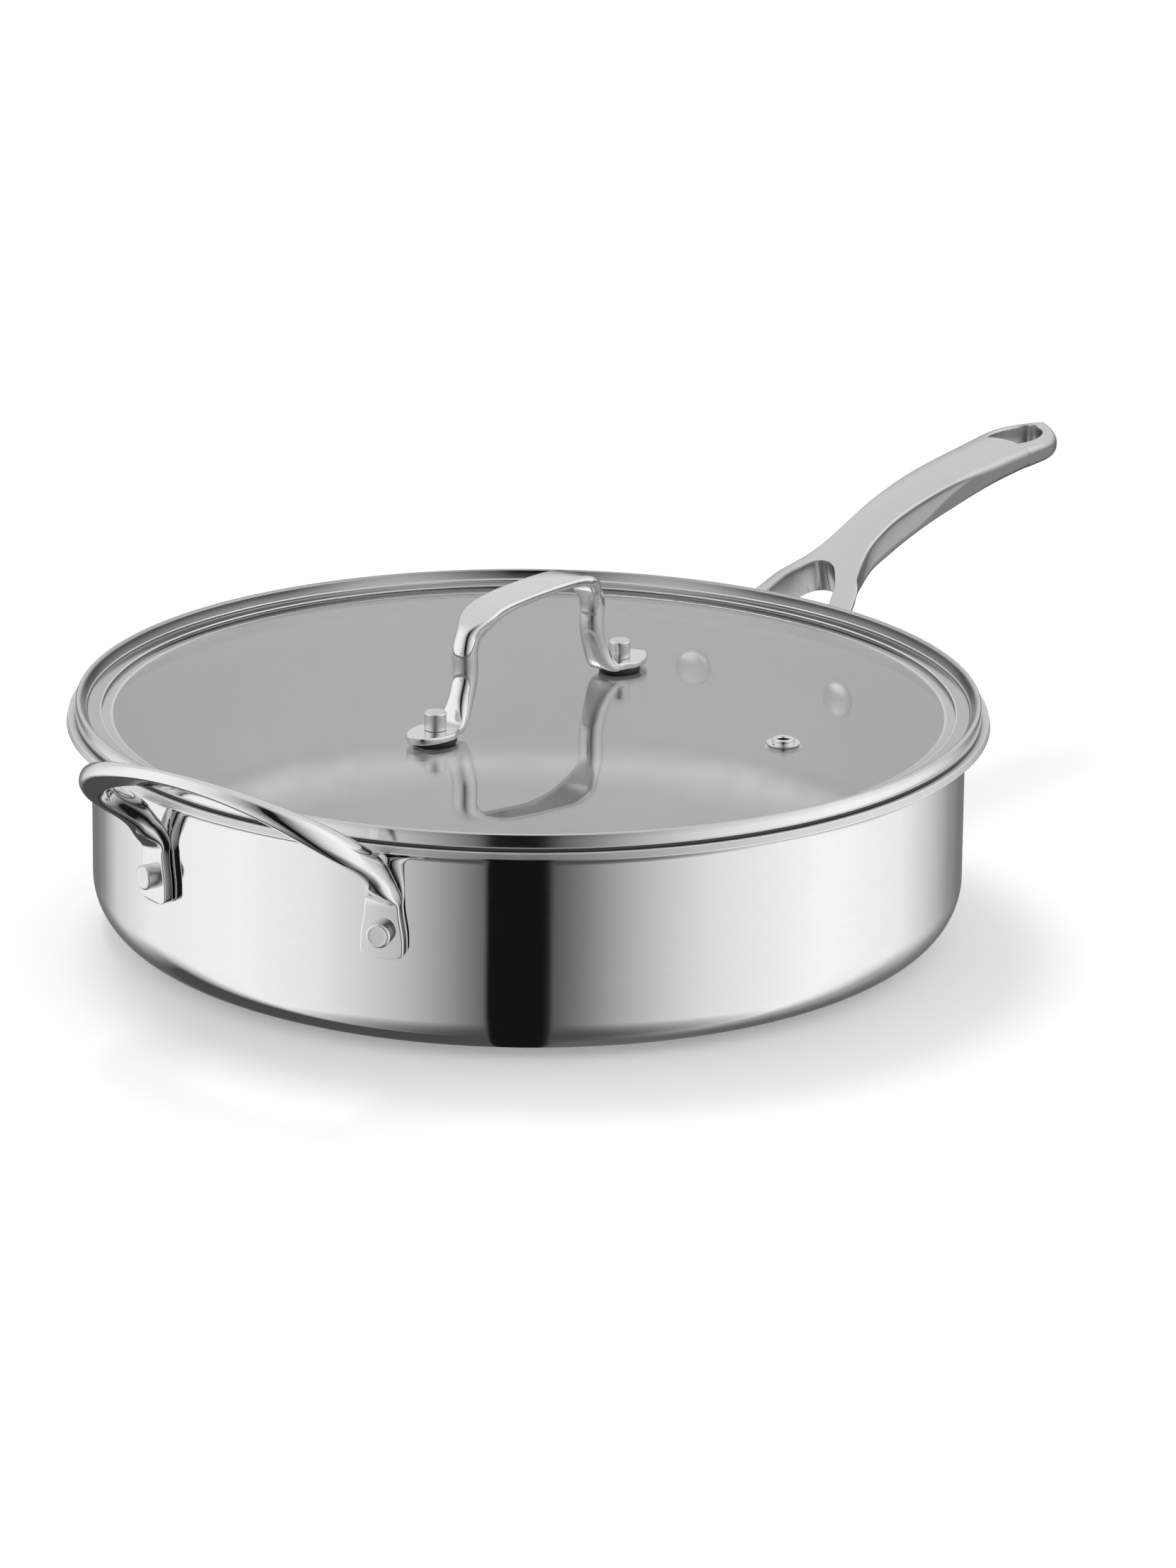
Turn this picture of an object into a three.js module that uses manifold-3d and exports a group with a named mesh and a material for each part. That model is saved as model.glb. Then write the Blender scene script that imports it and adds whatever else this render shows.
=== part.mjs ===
// Multi-pan with a glass lid: a clad steel pan with a forked long handle, a loop helper handle and a lid.
// Millimetres, +Z up. The origin is the centre of the base's underside and +X runs along the long handle.
import * as THREE from 'three';
import { mergeVertices } from 'three/addons/utils/BufferGeometryUtils.js';
import Module from 'manifold-3d';

const wasm = await Module();
wasm.setup();

// Fineness of round pieces
const ROUND_STEPS = 48;
const SMALL_STEPS = 14;

// Clearances
const SEAT_GAP = 0.3;
const STACK_GAP = 0.1;
const BORE_GAP = 0.3;
const BOND_GAP = 0.01;

// Pan
const WALL_RADIUS = 142;
const PAN_HEIGHT = 71.2;
const SKIN = 0.5;
const CORE = 1.5;
const CORNER_RADIUS = 18;
const FLARE_RADIUS = 5;
const LIP_WIDTH = 8;
const LIP_SLOPE = 12;

// Rivets through the pan's wall
const RIVET_RADIUS = 4;
const RIVET_HEAD_RADIUS = 6.4;
const RIVET_HEAD_HEIGHT = 3;
const RIVET_EDGE = 0.7;

// Long handle: reaches are from the lip's edge, heights from the lip's top
const HANDLE_REACH = 159;
const HANDLE_RISE = 26.1;
const HANDLE_ROOT_REACH = 23;
const HANDLE_ROOT_RISE = 4.3;
const HANDLE_WAIST_WIDTH = 16.4;
const HANDLE_WAIST_DEPTH = 10.8;
const HANDLE_TIP_WIDTH = 23;
const HANDLE_TIP_DEPTH = 7;
const HANDLE_CROWN = 1.8;
const HANDLE_SCOOP = 1.2;
const HANDLE_EDGE = 1;
const LEG_WIDTH = 8;
const LEG_DEPTH = 8.7;
const LEG_DRAFT = 3;
const LEG_SPREAD = 16.6;
const LEG_PAD_WIDTH = 15;
const LEG_PAD_DEPTH = 6.4;
const LEG_FOOT_DROP = 11.5;
const LEG_RIVET_HEIGHT = 44.5;
const LEG_RIVET_ANGLE = 12.4;
const LEG_STUB = 4;
const HANG_HOLE_MARGIN = 5.6;
const HANG_HOLE_LENGTH = 22;
const HANG_HOLE_WIDTH = 15;

// Helper handle: its reach is from the lip's edge, its rise from the lip's top
const HELPER_ANGLE = 18.2;
const HELPER_REACH = 32.4;
const HELPER_RISE = 21.4;
const HELPER_GRIP_TILT = 27;
const HELPER_BAR = 8.4;
const HELPER_GRIP_WIDTH = 13;
const HELPER_GRIP_DEPTH = 4.2;
const HELPER_FOOT_WIDTH = 14.2;
const HELPER_FOOT_DEPTH = 3.4;
const HELPER_FOOT_DROP = 8.5;
const HELPER_FOOT_LIFT = 8.6;
const HELPER_RIVET_HEIGHT = 41.4;
const HELPER_STUB = 3.8;

// Lid ring
const LIP_SHOW = 3;
const BAND_HEIGHT = 5.4;
const BAND_WALL = 1.9;
const BAND_ROUND = 0.9;
const LEDGE_DROP = 3.7;
const LEDGE_STEP = 0.6;
const LEDGE_DEPTH = 0.6;
const GLASS_COVER = 1.9;
const FLANGE_DEPTH = 0.7;
const FLANGE_REACH = 3.1;
const SKIRT_WALL = 0.8;
const SKIRT_DROP = 5.4;

// Lid glass
const GLASS_INSET = 4.6;
const GLASS_DEPTH = 3.2;
const GLASS_RISE = 0.9;
const GLASS_BEND_WIDTH = 36.5;

// Lid handle
const STUD_SPACING = 101;
const LID_TOE = 12;
const LID_HEEL = 8.5;
const LID_FOOT_WIDTH = 15.2;
const LID_FOOT_DEPTH = 2.3;
const LID_LEG_SPACING = 69;
const LID_ROD = 6.6;
const LID_STRAP_WIDTH = 15.4;
const LID_STRAP_DEPTH = 3;
const LID_HANDLE_RISE = 36;
const LID_STRAP_CROWN = 1.8;
const STUD_RADIUS = 3.6;
const STUD_RISE = 6;
const SHANK_RADIUS = 2.6;
const STUD_HEAD_RADIUS = 5;
const STUD_HEAD_HEIGHT = 2;
const GASKET_RADIUS = 7;
const GASKET_DEPTH = 1.5;
const WASHER_RADIUS = 7.5;
const WASHER_DEPTH = 1.2;

// Steam vent
const VENT_X = 15;
const VENT_Y = -90;
const VENT_HOLE_RADIUS = 1.9;
const VENT_COLLAR_RADIUS = 3.7;
const VENT_COLLAR_RISE = 1.3;
const VENT_FLANGE_RADIUS = 5.5;
const VENT_FLANGE_DEPTH = 0.6;
const VENT_BARREL_RADIUS = 3;
const VENT_WASHER_RADIUS = 6;
const VENT_WASHER_DEPTH = 0.8;

// Worked-out sizes shared by several pieces
const radians = THREE.MathUtils.degToRad;
const WALL = SKIN + CORE + SKIN;
const INNER_RADIUS = WALL_RADIUS - WALL;
const LIP_RADIUS = WALL_RADIUS + LIP_WIDTH;
const SLOPE = radians(LIP_SLOPE);
const LIP_REACH = LIP_WIDTH - FLARE_RADIUS * (1 - Math.sin(SLOPE));
const LIP_RUN = LIP_REACH / Math.cos(SLOPE);
const FLARE_HEIGHT = PAN_HEIGHT - (FLARE_RADIUS + WALL) * Math.cos(SLOPE) - LIP_RUN * Math.sin(SLOPE);
const FLARE_CENTRE = new THREE.Vector2(WALL_RADIUS + FLARE_RADIUS, FLARE_HEIGHT);
const CORNER_CENTRE = new THREE.Vector2(WALL_RADIUS - CORNER_RADIUS, CORNER_RADIUS);
const CORNER_LEAD = 15;
const CORNER_ARC_STEPS = 3;
const FLARE_ARC_STEPS = 2;
const PAD_FACE = WALL_RADIUS + SEAT_GAP;

// Points of a circular arc between two angles in degrees.
function arc(centre, radius, from, to, steps) {
  return Array.from({ length: steps + 1 }, (unused, i) => {
    const angle = radians(from + ((to - from) * i) / steps);
    return new THREE.Vector2(centre.x + radius * Math.cos(angle), centre.y + radius * Math.sin(angle));
  });
}

function points(...pairs) {
  return pairs.map(([x, y]) => new THREE.Vector2(x, y));
}

// A profile of (radius, height) points turned round +Z.
function turned(profile, steps) {
  return new THREE.LatheGeometry(profile, steps).rotateX(Math.PI / 2);
}

// A profile of (radius, distance) points turned round +X.
function turnedAlongX(profile, steps) {
  return new THREE.LatheGeometry(profile, steps).rotateZ(-Math.PI / 2);
}

// A closed geometry as a solid that can be joined and cut.
function solid(geometry) {
  const bare = geometry.clone();
  bare.deleteAttribute('normal');
  bare.deleteAttribute('uv');
  const merged = mergeVertices(bare);
  const corners = merged.index.array;
  const kept = [];
  for (let i = 0; i < corners.length; i += 3) {
    const [a, b, c] = corners.slice(i, i + 3);
    if (a !== b && b !== c && c !== a) kept.push(a, b, c);
  }
  const vertProperties = merged.attributes.position.array;
  const triVerts = new Uint32Array(kept);
  return new wasm.Manifold(new wasm.Mesh({ numProp: 3, vertProperties, triVerts }));
}

function geometryOf(body) {
  const { vertProperties, triVerts } = body.getMesh();
  const geometry = new THREE.BufferGeometry();
  geometry.setAttribute('position', new THREE.BufferAttribute(vertProperties, 3));
  geometry.setIndex(new THREE.BufferAttribute(triVerts, 1));
  geometry.computeVertexNormals();
  return geometry;
}

function cut(geometry, cutters) {
  return geometryOf(cutters.reduce((body, cutter) => body.subtract(solid(cutter)), solid(geometry)));
}

// A closed skin over rings of equal point counts, with a flat cap at each end.
function loft(rings) {
  const count = rings[0].length;
  const corners = rings.flat();
  const middle = (ring) => ring.reduce((sum, p) => sum.add(p), new THREE.Vector3()).divideScalar(count);
  const start = corners.push(middle(rings[0])) - 1;
  const end = corners.push(middle(rings.at(-1))) - 1;
  const faces = [];
  const last = (rings.length - 1) * count;
  for (let k = 0; k < count; k += 1) {
    const next = (k + 1) % count;
    for (let row = 0; row < last; row += count) {
      faces.push(row + k, row + next, row + count + next);
      faces.push(row + k, row + count + next, row + count + k);
    }
    faces.push(start, next, k, end, last + k, last + next);
  }
  const geometry = new THREE.BufferGeometry().setFromPoints(corners);
  geometry.setIndex(faces);
  return geometry;
}

// Points given across and up from a place on a bar's centre line, set square to it.
function placed({ point, tangent, side }, outline) {
  const across = side.clone().addScaledVector(tangent, -side.dot(tangent)).normalize();
  const up = tangent.clone().cross(across);
  return outline.map(({ x, y }) => point.clone().addScaledVector(across, x).addScaledVector(up, y));
}

// A rounded rectangle; `round` is its corner radius as a share of half the smaller side, and `draft`
// draws in one corner.
function barRing(station) {
  const { width, depth, round, draft = 0 } = station;
  const radius = (round * Math.min(width, depth)) / 2;
  const corner = (wayX, wayY, from) => {
    const drawnIn = wayY > 0 && wayX === Math.sign(draft) ? draft : 0;
    const centre = new THREE.Vector2(wayX * (width / 2 - radius) - drawnIn, wayY * (depth / 2 - radius));
    return arc(centre, radius, from + CORNER_LEAD, from + 90 - CORNER_LEAD, 2);
  };
  const outline = [corner(1, 1, 0), corner(-1, 1, 90), corner(-1, -1, 180), corner(1, -1, 270)];
  return placed(station, outline.flat());
}

function mixSections(a, b, t) {
  const mixed = {};
  for (const key of Object.keys(a)) mixed[key] = THREE.MathUtils.lerp(a[key], b[key], t);
  return mixed;
}

const EASE = {
  smooth: (t) => THREE.MathUtils.smoothstep(t, 0, 1),
  round: (t) => Math.sqrt(1 - (1 - t) ** 2),
};

// Sections along a run of curves; each stretch changes from one section to the next.
function stations(stretches) {
  const list = [];
  stretches.forEach(({ curve, steps, from, to, by = 1, ease = EASE.smooth }, index) => {
    for (let i = index === 0 ? 0 : 1; i <= steps; i += 1) {
      const t = i / steps;
      const section = mixSections(from, to, ease(Math.min(1, t / by)));
      list.push({ point: curve.getPoint(t), tangent: curve.getTangent(t), ...section });
    }
  });
  return list;
}

// The other half of a symmetrical bar, mirrored along one axis.
function mirrored(half, axis) {
  const flip = (v) => v.clone().setComponent(axis, -v.getComponent(axis));
  const back = half.slice(0, -1).reverse();
  const other = back.map((s) => ({ ...s, point: flip(s.point), tangent: flip(s.tangent).negate() }));
  return [...half, ...other];
}

// Surface of the pan at a depth below its outside: base, corner, wall, flare and lip.
function flareSurface(depth) {
  return arc(FLARE_CENTRE, FLARE_RADIUS + depth, 180, 90 + LIP_SLOPE, FLARE_ARC_STEPS);
}

function panSurface(depth) {
  const corner = arc(CORNER_CENTRE, CORNER_RADIUS - depth, -90, 0, CORNER_ARC_STEPS);
  const flare = flareSurface(depth);
  const outward = new THREE.Vector2(Math.cos(SLOPE), Math.sin(SLOPE));
  const edge = flare.at(-1).clone().addScaledVector(outward, LIP_RUN);
  return [new THREE.Vector2(0, depth), ...corner, ...flare, edge];
}

function radialCylinder(radius, from, to, angle, height) {
  return new THREE.CylinderGeometry(radius, radius, to - from, SMALL_STEPS)
    .rotateZ(-Math.PI / 2)
    .translate((from + to) / 2, 0, 0)
    .rotateZ(radians(angle))
    .translate(0, 0, height);
}

function rivetBore({ angle, height }) {
  const margin = RIVET_HEAD_RADIUS;
  return radialCylinder(RIVET_RADIUS + BORE_GAP, INNER_RADIUS - margin, LIP_RADIUS + margin, angle, height);
}

const LEG_RIVET = { height: LEG_RIVET_HEIGHT, end: PAD_FACE + LEG_PAD_DEPTH + LEG_STUB };
const HELPER_RIVET = { height: HELPER_RIVET_HEIGHT, end: PAD_FACE + HELPER_FOOT_DEPTH + HELPER_STUB };
const LEG_RIVETS = [
  { name: 'long_handle_rivet_left', angle: LEG_RIVET_ANGLE, ...LEG_RIVET },
  { name: 'long_handle_rivet_right', angle: -LEG_RIVET_ANGLE, ...LEG_RIVET },
];
const HELPER_RIVETS = [
  { name: 'helper_rivet_left', angle: 180 - HELPER_ANGLE, ...HELPER_RIVET },
  { name: 'helper_rivet_right', angle: 180 + HELPER_ANGLE, ...HELPER_RIVET },
];
const RIVETS = [...LEG_RIVETS, ...HELPER_RIVETS];

function panLayer(outside, inside) {
  const profile = [...panSurface(outside), ...panSurface(inside).reverse()];
  return cut(turned(profile, ROUND_STEPS), RIVETS.map(rivetBore));
}

// Domed head inside the pan, shank through wall and foot, stub with a rounded edge outside.
function rivet(end) {
  const flattestWall = INNER_RADIUS * Math.cos(Math.PI / ROUND_STEPS);
  const base = flattestWall - RIVET_HEAD_RADIUS ** 2 / (2 * INNER_RADIUS) - STACK_GAP;
  const domeRadius = (RIVET_HEAD_RADIUS ** 2 + RIVET_HEAD_HEIGHT ** 2) / (2 * RIVET_HEAD_HEIGHT);
  const domeCentre = new THREE.Vector2(0, base - RIVET_HEAD_HEIGHT + domeRadius);
  const rim = THREE.MathUtils.radToDeg(Math.asin(RIVET_HEAD_RADIUS / domeRadius));
  const profile = [
    ...arc(domeCentre, domeRadius, -90, -90 + rim, 4),
    ...points([RIVET_RADIUS, base]),
    ...arc(new THREE.Vector2(RIVET_RADIUS - RIVET_EDGE, end - RIVET_EDGE), RIVET_EDGE, 0, 90, 2),
    ...points([0, end]),
  ];
  profile[0].x = 0;
  return turnedAlongX(profile, SMALL_STEPS);
}

// The room that the pan takes up, grown by the seat gap, for cutting what is fitted to its outside.
function panEnvelope() {
  const outside = panSurface(-SEAT_GAP);
  const top = PAN_HEIGHT + SEAT_GAP;
  const edge = outside.at(-1).clone().setX(LIP_RADIUS + SEAT_GAP);
  return turned([...outside, edge, ...points([edge.x, top], [0, top])], ROUND_STEPS);
}

// A section of the long handle: crowned top, flanks scooped in, softened lower edges.
function handleRing(station) {
  const { width, depth, scoop } = station;
  const half = width / 2;
  const top = depth / 2;
  const crownAt = (share) => new THREE.Vector2(half * share, top + HANDLE_CROWN * (1 - share ** 2));
  const crown = [1, 0.55, 0, -0.55, -1].map(crownAt);
  const left = points([scoop - half, 0], [-half, HANDLE_EDGE - top], [HANDLE_EDGE - half, -top]);
  const right = left.map(({ x, y }) => new THREE.Vector2(-x, y)).reverse();
  return placed(station, [...crown, ...left, ...right]);
}

const HANDLE_ROOT = LIP_RADIUS + HANDLE_ROOT_REACH;
const HANDLE_END = LIP_RADIUS + HANDLE_REACH;
const HANDLE_ROOT_HEIGHT = PAN_HEIGHT + HANDLE_ROOT_RISE;
const HANDLE_TIP_HEIGHT = PAN_HEIGHT + HANDLE_RISE;
const SIDEWAYS = new THREE.Vector3(0, 1, 0);

function handleShaft() {
  const run = HANDLE_END - HANDLE_ROOT;
  const rise = HANDLE_TIP_HEIGHT - HANDLE_ROOT_HEIGHT;
  const at = (alongRun, alongRise) =>
    new THREE.Vector3(HANDLE_ROOT + alongRun * run, 0, HANDLE_ROOT_HEIGHT + alongRise * rise);
  const spine = new THREE.CubicBezierCurve3(at(0, 0), at(0.18, 0.5), at(0.42, 0.95), at(1, 1));
  const waistAt = 0.32;
  const roundAt = 1 - HANDLE_TIP_WIDTH / 2 / run;
  const root = { width: HANDLE_WAIST_WIDTH + LEG_WIDTH / 2, depth: LEG_DEPTH, scoop: 0 };
  const waist = { width: HANDLE_WAIST_WIDTH, depth: HANDLE_WAIST_DEPTH, scoop: HANDLE_SCOOP };
  const tip = { width: HANDLE_TIP_WIDTH, depth: HANDLE_TIP_DEPTH, scoop: 0 };
  const end = { width: HANDLE_TIP_WIDTH / 4, depth: HANDLE_TIP_DEPTH - HANDLE_EDGE, scoop: 0 };
  const shape = (t) => {
    if (t < waistAt) return mixSections(root, waist, EASE.smooth(t / waistAt));
    if (t < roundAt) return mixSections(waist, tip, (t - waistAt) / (roundAt - waistAt));
    return mixSections(end, tip, EASE.round((1 - t) / (1 - roundAt)));
  };
  const shaftSteps = 14;
  const tipSteps = 5;
  const shaft = Array.from({ length: shaftSteps }, (unused, i) => (roundAt * i) / shaftSteps);
  const nose = Array.from({ length: tipSteps + 1 }, (unused, i) =>
    roundAt + (1 - roundAt) * Math.sin((Math.PI / 2) * (i / tipSteps)));
  return loft([...shaft, ...nose].map((t) =>
    handleRing({ point: spine.getPoint(t), tangent: spine.getTangent(t), side: SIDEWAYS, ...shape(t) })));
}

// One leg of the fork: it leaves the shaft, passes outside the lip and lies on the wall as a riveted foot.
function handleLeg(way) {
  const onWall = (angle, height, gap) => new THREE.Vector3(
    (PAD_FACE + gap) * Math.cos(radians(angle)), way * (PAD_FACE + gap) * Math.sin(radians(angle)), height);
  const fromRoot = (along, across, up) =>
    new THREE.Vector3(HANDLE_ROOT + along, way * across, HANDLE_ROOT_HEIGHT + up);
  const bury = LEG_PAD_DEPTH / 2 - 1;
  const passLip = LIP_RADIUS + LEG_DEPTH;
  const neck = (FLARE_HEIGHT + LEG_RIVET_HEIGHT) / 2;
  const route = new THREE.CatmullRomCurve3([
    fromRoot(HANDLE_WAIST_WIDTH, HANDLE_WAIST_WIDTH / 4, LEG_DEPTH * 0.75),
    fromRoot(LEG_WIDTH / 4, HANDLE_WAIST_WIDTH / 2, LEG_DEPTH * 0.1),
    new THREE.Vector3(passLip + LEG_WIDTH, way * LEG_SPREAD * 0.75, PAN_HEIGHT + LEG_DEPTH * 0.3),
    new THREE.Vector3(passLip, way * LEG_SPREAD, PAN_HEIGHT - LEG_DEPTH * 0.22),
    onWall(LEG_RIVET_ANGLE * 0.7, neck, LEG_PAD_DEPTH),
    onWall(LEG_RIVET_ANGLE * 0.9, LEG_RIVET_HEIGHT + RIVET_HEAD_RADIUS, bury + 1),
    onWall(LEG_RIVET_ANGLE, LEG_RIVET_HEIGHT, bury),
    onWall(LEG_RIVET_ANGLE * 1.06, LEG_RIVET_HEIGHT - LEG_FOOT_DROP, bury),
  ]);
  const leg = { width: LEG_WIDTH, depth: LEG_DEPTH, round: 0.45, draft: way * LEG_DRAFT };
  const pad = { width: LEG_PAD_WIDTH, depth: LEG_PAD_DEPTH, round: 0.45, draft: 0 };
  const toe = { ...pad, width: LEG_PAD_WIDTH * 0.55 };
  const steps = 16;
  const padAt = 0.45;
  const toeAt = 0.87;
  const shape = (t) => {
    if (t < toeAt) return mixSections(leg, pad, THREE.MathUtils.smoothstep(t, padAt, toeAt));
    return mixSections(toe, pad, EASE.round((1 - t) / (1 - toeAt)));
  };
  return loft(Array.from({ length: steps + 1 }, (unused, i) => {
    const t = i / steps;
    const place = { point: route.getPointAt(t), tangent: route.getTangentAt(t), side: SIDEWAYS };
    return barRing({ ...place, ...shape(t) });
  }));
}

// A D-shaped hole, straight across towards the pan and round towards the tip.
function hangHole() {
  const half = HANG_HOLE_WIDTH / 2;
  const start = HANDLE_END - HANG_HOLE_MARGIN - HANG_HOLE_LENGTH;
  const outline = new THREE.Shape();
  outline.moveTo(start, half);
  outline.lineTo(start, -half);
  outline.absellipse(start, 0, HANG_HOLE_LENGTH, half, -Math.PI / 2, Math.PI / 2, false, 0);
  const height = HANDLE_TIP_HEIGHT + HANDLE_TIP_DEPTH * 2;
  return new THREE.ExtrudeGeometry(outline, { depth: height, bevelEnabled: false, curveSegments: 10 });
}

function longHandle() {
  const forked = solid(handleShaft()).add(solid(handleLeg(1))).add(solid(handleLeg(-1)));
  return cut(geometryOf(forked), [panEnvelope(), hangHole(), ...LEG_RIVETS.map(rivetBore)]);
}

// A bar bent into a loop: flat feet on the wall, round arms past the lip, a grip pressed flat.
function helperHandle() {
  const angle = radians(180 - HELPER_ANGLE);
  const footRadius = PAD_FACE + HELPER_FOOT_DEPTH / 2;
  const onWall = (height) =>
    new THREE.Vector3(footRadius * Math.cos(angle), footRadius * Math.sin(angle), height);
  const spread = footRadius * Math.sin(angle);
  const reach = LIP_RADIUS + HELPER_REACH;
  const height = PAN_HEIGHT + HELPER_RISE;
  const toe = onWall(HELPER_RIVET_HEIGHT - HELPER_FOOT_DROP);
  const ankle = onWall(HELPER_RIVET_HEIGHT + HELPER_FOOT_LIFT);
  const elbow = new THREE.Vector3(-LIP_RADIUS - HELPER_BAR * 0.72, spread + 2, PAN_HEIGHT + 1);
  const lean = new THREE.Vector3(-0.85, 0, 0.53);
  const rise = new THREE.Vector3(0, 0, HELPER_BAR);
  const grip = new THREE.Vector3(-reach, 0, height);
  const bend = new THREE.Vector3(-reach, spread * 0.62, height);
  const arm = new THREE.CubicBezierCurve3(
    ankle, ankle.clone().add(rise), elbow.clone().addScaledVector(lean, -HELPER_BAR * 1.3), elbow);
  const bow = new THREE.CubicBezierCurve3(
    elbow, elbow.clone().addScaledVector(lean, HELPER_BAR * 2.6), bend, grip);
  const foot = { width: HELPER_FOOT_WIDTH, depth: HELPER_FOOT_DEPTH, round: 0.4 };
  const neck = { ...foot, width: HELPER_FOOT_WIDTH * 0.8 };
  const bar = { width: HELPER_BAR, depth: HELPER_BAR, round: 1 };
  const flat = { width: HELPER_GRIP_WIDTH, depth: HELPER_GRIP_DEPTH, round: 0.7 };
  const half = stations([
    { curve: new THREE.LineCurve3(toe, ankle), steps: 3, from: foot, to: neck },
    { curve: arm, steps: 8, from: neck, to: bar, by: 0.62 },
    { curve: bow, steps: 9, from: bar, to: flat },
  ]);
  const hubReach = footRadius / Math.cos(radians(HELPER_ANGLE));
  const hubDrop = (reach - hubReach) * Math.tan(radians(HELPER_GRIP_TILT));
  const hub = new THREE.Vector3(-hubReach, 0, height - hubDrop);
  const rings = mirrored(half, 1).map((s) => barRing({ ...s, side: s.point.clone().sub(hub) }));
  return cut(loft(rings), HELPER_RIVETS.map(rivetBore));
}

// The lid's widths and heights follow from the lip that it rests on.
const BAND_RADIUS = LIP_RADIUS - LIP_SHOW;
const GLASS_RADIUS = BAND_RADIUS - BAND_WALL - GLASS_INSET;
const GLASS_FLAT_RADIUS = GLASS_RADIUS - GLASS_BEND_WIDTH;
const SEAT_DEPTH = WALL + SEAT_GAP;
const SEAT_ARC = flareSurface(SEAT_DEPTH);
const BAND_BOTTOM = SEAT_ARC.at(-1).y + (BAND_RADIUS - SEAT_ARC.at(-1).x) * Math.tan(SLOPE);
const BAND_TOP = BAND_BOTTOM + BAND_HEIGHT;
const LEDGE_TOP = BAND_TOP - LEDGE_DROP;
const LEDGE_UNDER = LEDGE_TOP - LEDGE_DEPTH;
const GLASS_EDGE_TOP = LEDGE_UNDER - STACK_GAP;
const GLASS_TOP = GLASS_EDGE_TOP + GLASS_RISE;
const GLASS_UNDER = GLASS_TOP - GLASS_DEPTH;
const FLANGE_TOP = GLASS_EDGE_TOP - GLASS_DEPTH - STACK_GAP;
const CHANNEL_RADIUS = GLASS_RADIUS + SEAT_GAP;
const SKIRT_RADIUS = SEAT_ARC[0].x;

function lidRing() {
  const inner = BAND_RADIUS - BAND_WALL;
  const bandRound = new THREE.Vector2(BAND_RADIUS - BAND_ROUND, BAND_TOP - BAND_ROUND);
  const hemRound = new THREE.Vector2(inner + BAND_ROUND, BAND_TOP - BAND_ROUND);
  const skirtBottom = FLANGE_TOP - FLANGE_DEPTH - SKIRT_DROP;
  const coverRadius = GLASS_RADIUS - GLASS_COVER;
  const flangeRadius = CHANNEL_RADIUS - FLANGE_REACH;
  const skirtInner = SKIRT_RADIUS - SKIRT_WALL;
  const profile = [
    ...points([SKIRT_RADIUS, skirtBottom]),
    ...SEAT_ARC,
    ...points([BAND_RADIUS, BAND_BOTTOM]),
    ...arc(bandRound, BAND_ROUND, 0, 90, 2),
    ...arc(hemRound, BAND_ROUND, 90, 180, 1),
    ...points([inner, LEDGE_TOP + LEDGE_STEP], [inner - LEDGE_STEP, LEDGE_TOP + LEDGE_STEP]),
    ...points([inner - LEDGE_STEP, LEDGE_TOP], [coverRadius, LEDGE_TOP], [coverRadius, LEDGE_UNDER]),
    ...points([CHANNEL_RADIUS, LEDGE_UNDER], [CHANNEL_RADIUS, FLANGE_TOP], [flangeRadius, FLANGE_TOP]),
    ...points([flangeRadius, FLANGE_TOP - FLANGE_DEPTH], [skirtInner, FLANGE_TOP - FLANGE_DEPTH]),
    ...points([skirtInner, skirtBottom], [SKIRT_RADIUS, skirtBottom]),
  ];
  return turned(profile, ROUND_STEPS);
}

function verticalCylinder(radius, x, y, from, to) {
  return new THREE.CylinderGeometry(radius, radius, to - from, SMALL_STEPS)
    .rotateX(Math.PI / 2)
    .translate(x, y, (from + to) / 2);
}

const STUDS = [
  { end: 'front', x: -STUD_SPACING / 2 },
  { end: 'rear', x: STUD_SPACING / 2 },
];

function lidGlass() {
  const drop = (radius) => GLASS_RISE * ((radius - GLASS_FLAT_RADIUS) / GLASS_BEND_WIDTH) ** 2;
  const bend = (GLASS_FLAT_RADIUS + GLASS_RADIUS) / 2;
  const radii = [0, GLASS_FLAT_RADIUS, bend, GLASS_RADIUS];
  const heightAt = (radius, level) => level - (radius > GLASS_FLAT_RADIUS ? drop(radius) : 0);
  const surface = (level) => radii.map((radius) => new THREE.Vector2(radius, heightAt(radius, level)));
  const profile = [...surface(GLASS_UNDER), ...surface(GLASS_TOP).reverse()];
  const hole = (radius, x, y) => verticalCylinder(radius + BORE_GAP, x, y, GLASS_UNDER - 1, GLASS_TOP + 1);
  const holes = STUDS.map(({ x }) => hole(SHANK_RADIUS, x, 0));
  return cut(turned(profile, ROUND_STEPS), [...holes, hole(VENT_BARREL_RADIUS, VENT_X, VENT_Y)]);
}

const FOOT_UNDER = GLASS_TOP + GASKET_DEPTH + STACK_GAP;
const FOOT_MIDDLE = FOOT_UNDER + LID_FOOT_DEPTH / 2;
const FOOT_TOP = FOOT_UNDER + LID_FOOT_DEPTH;

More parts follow.
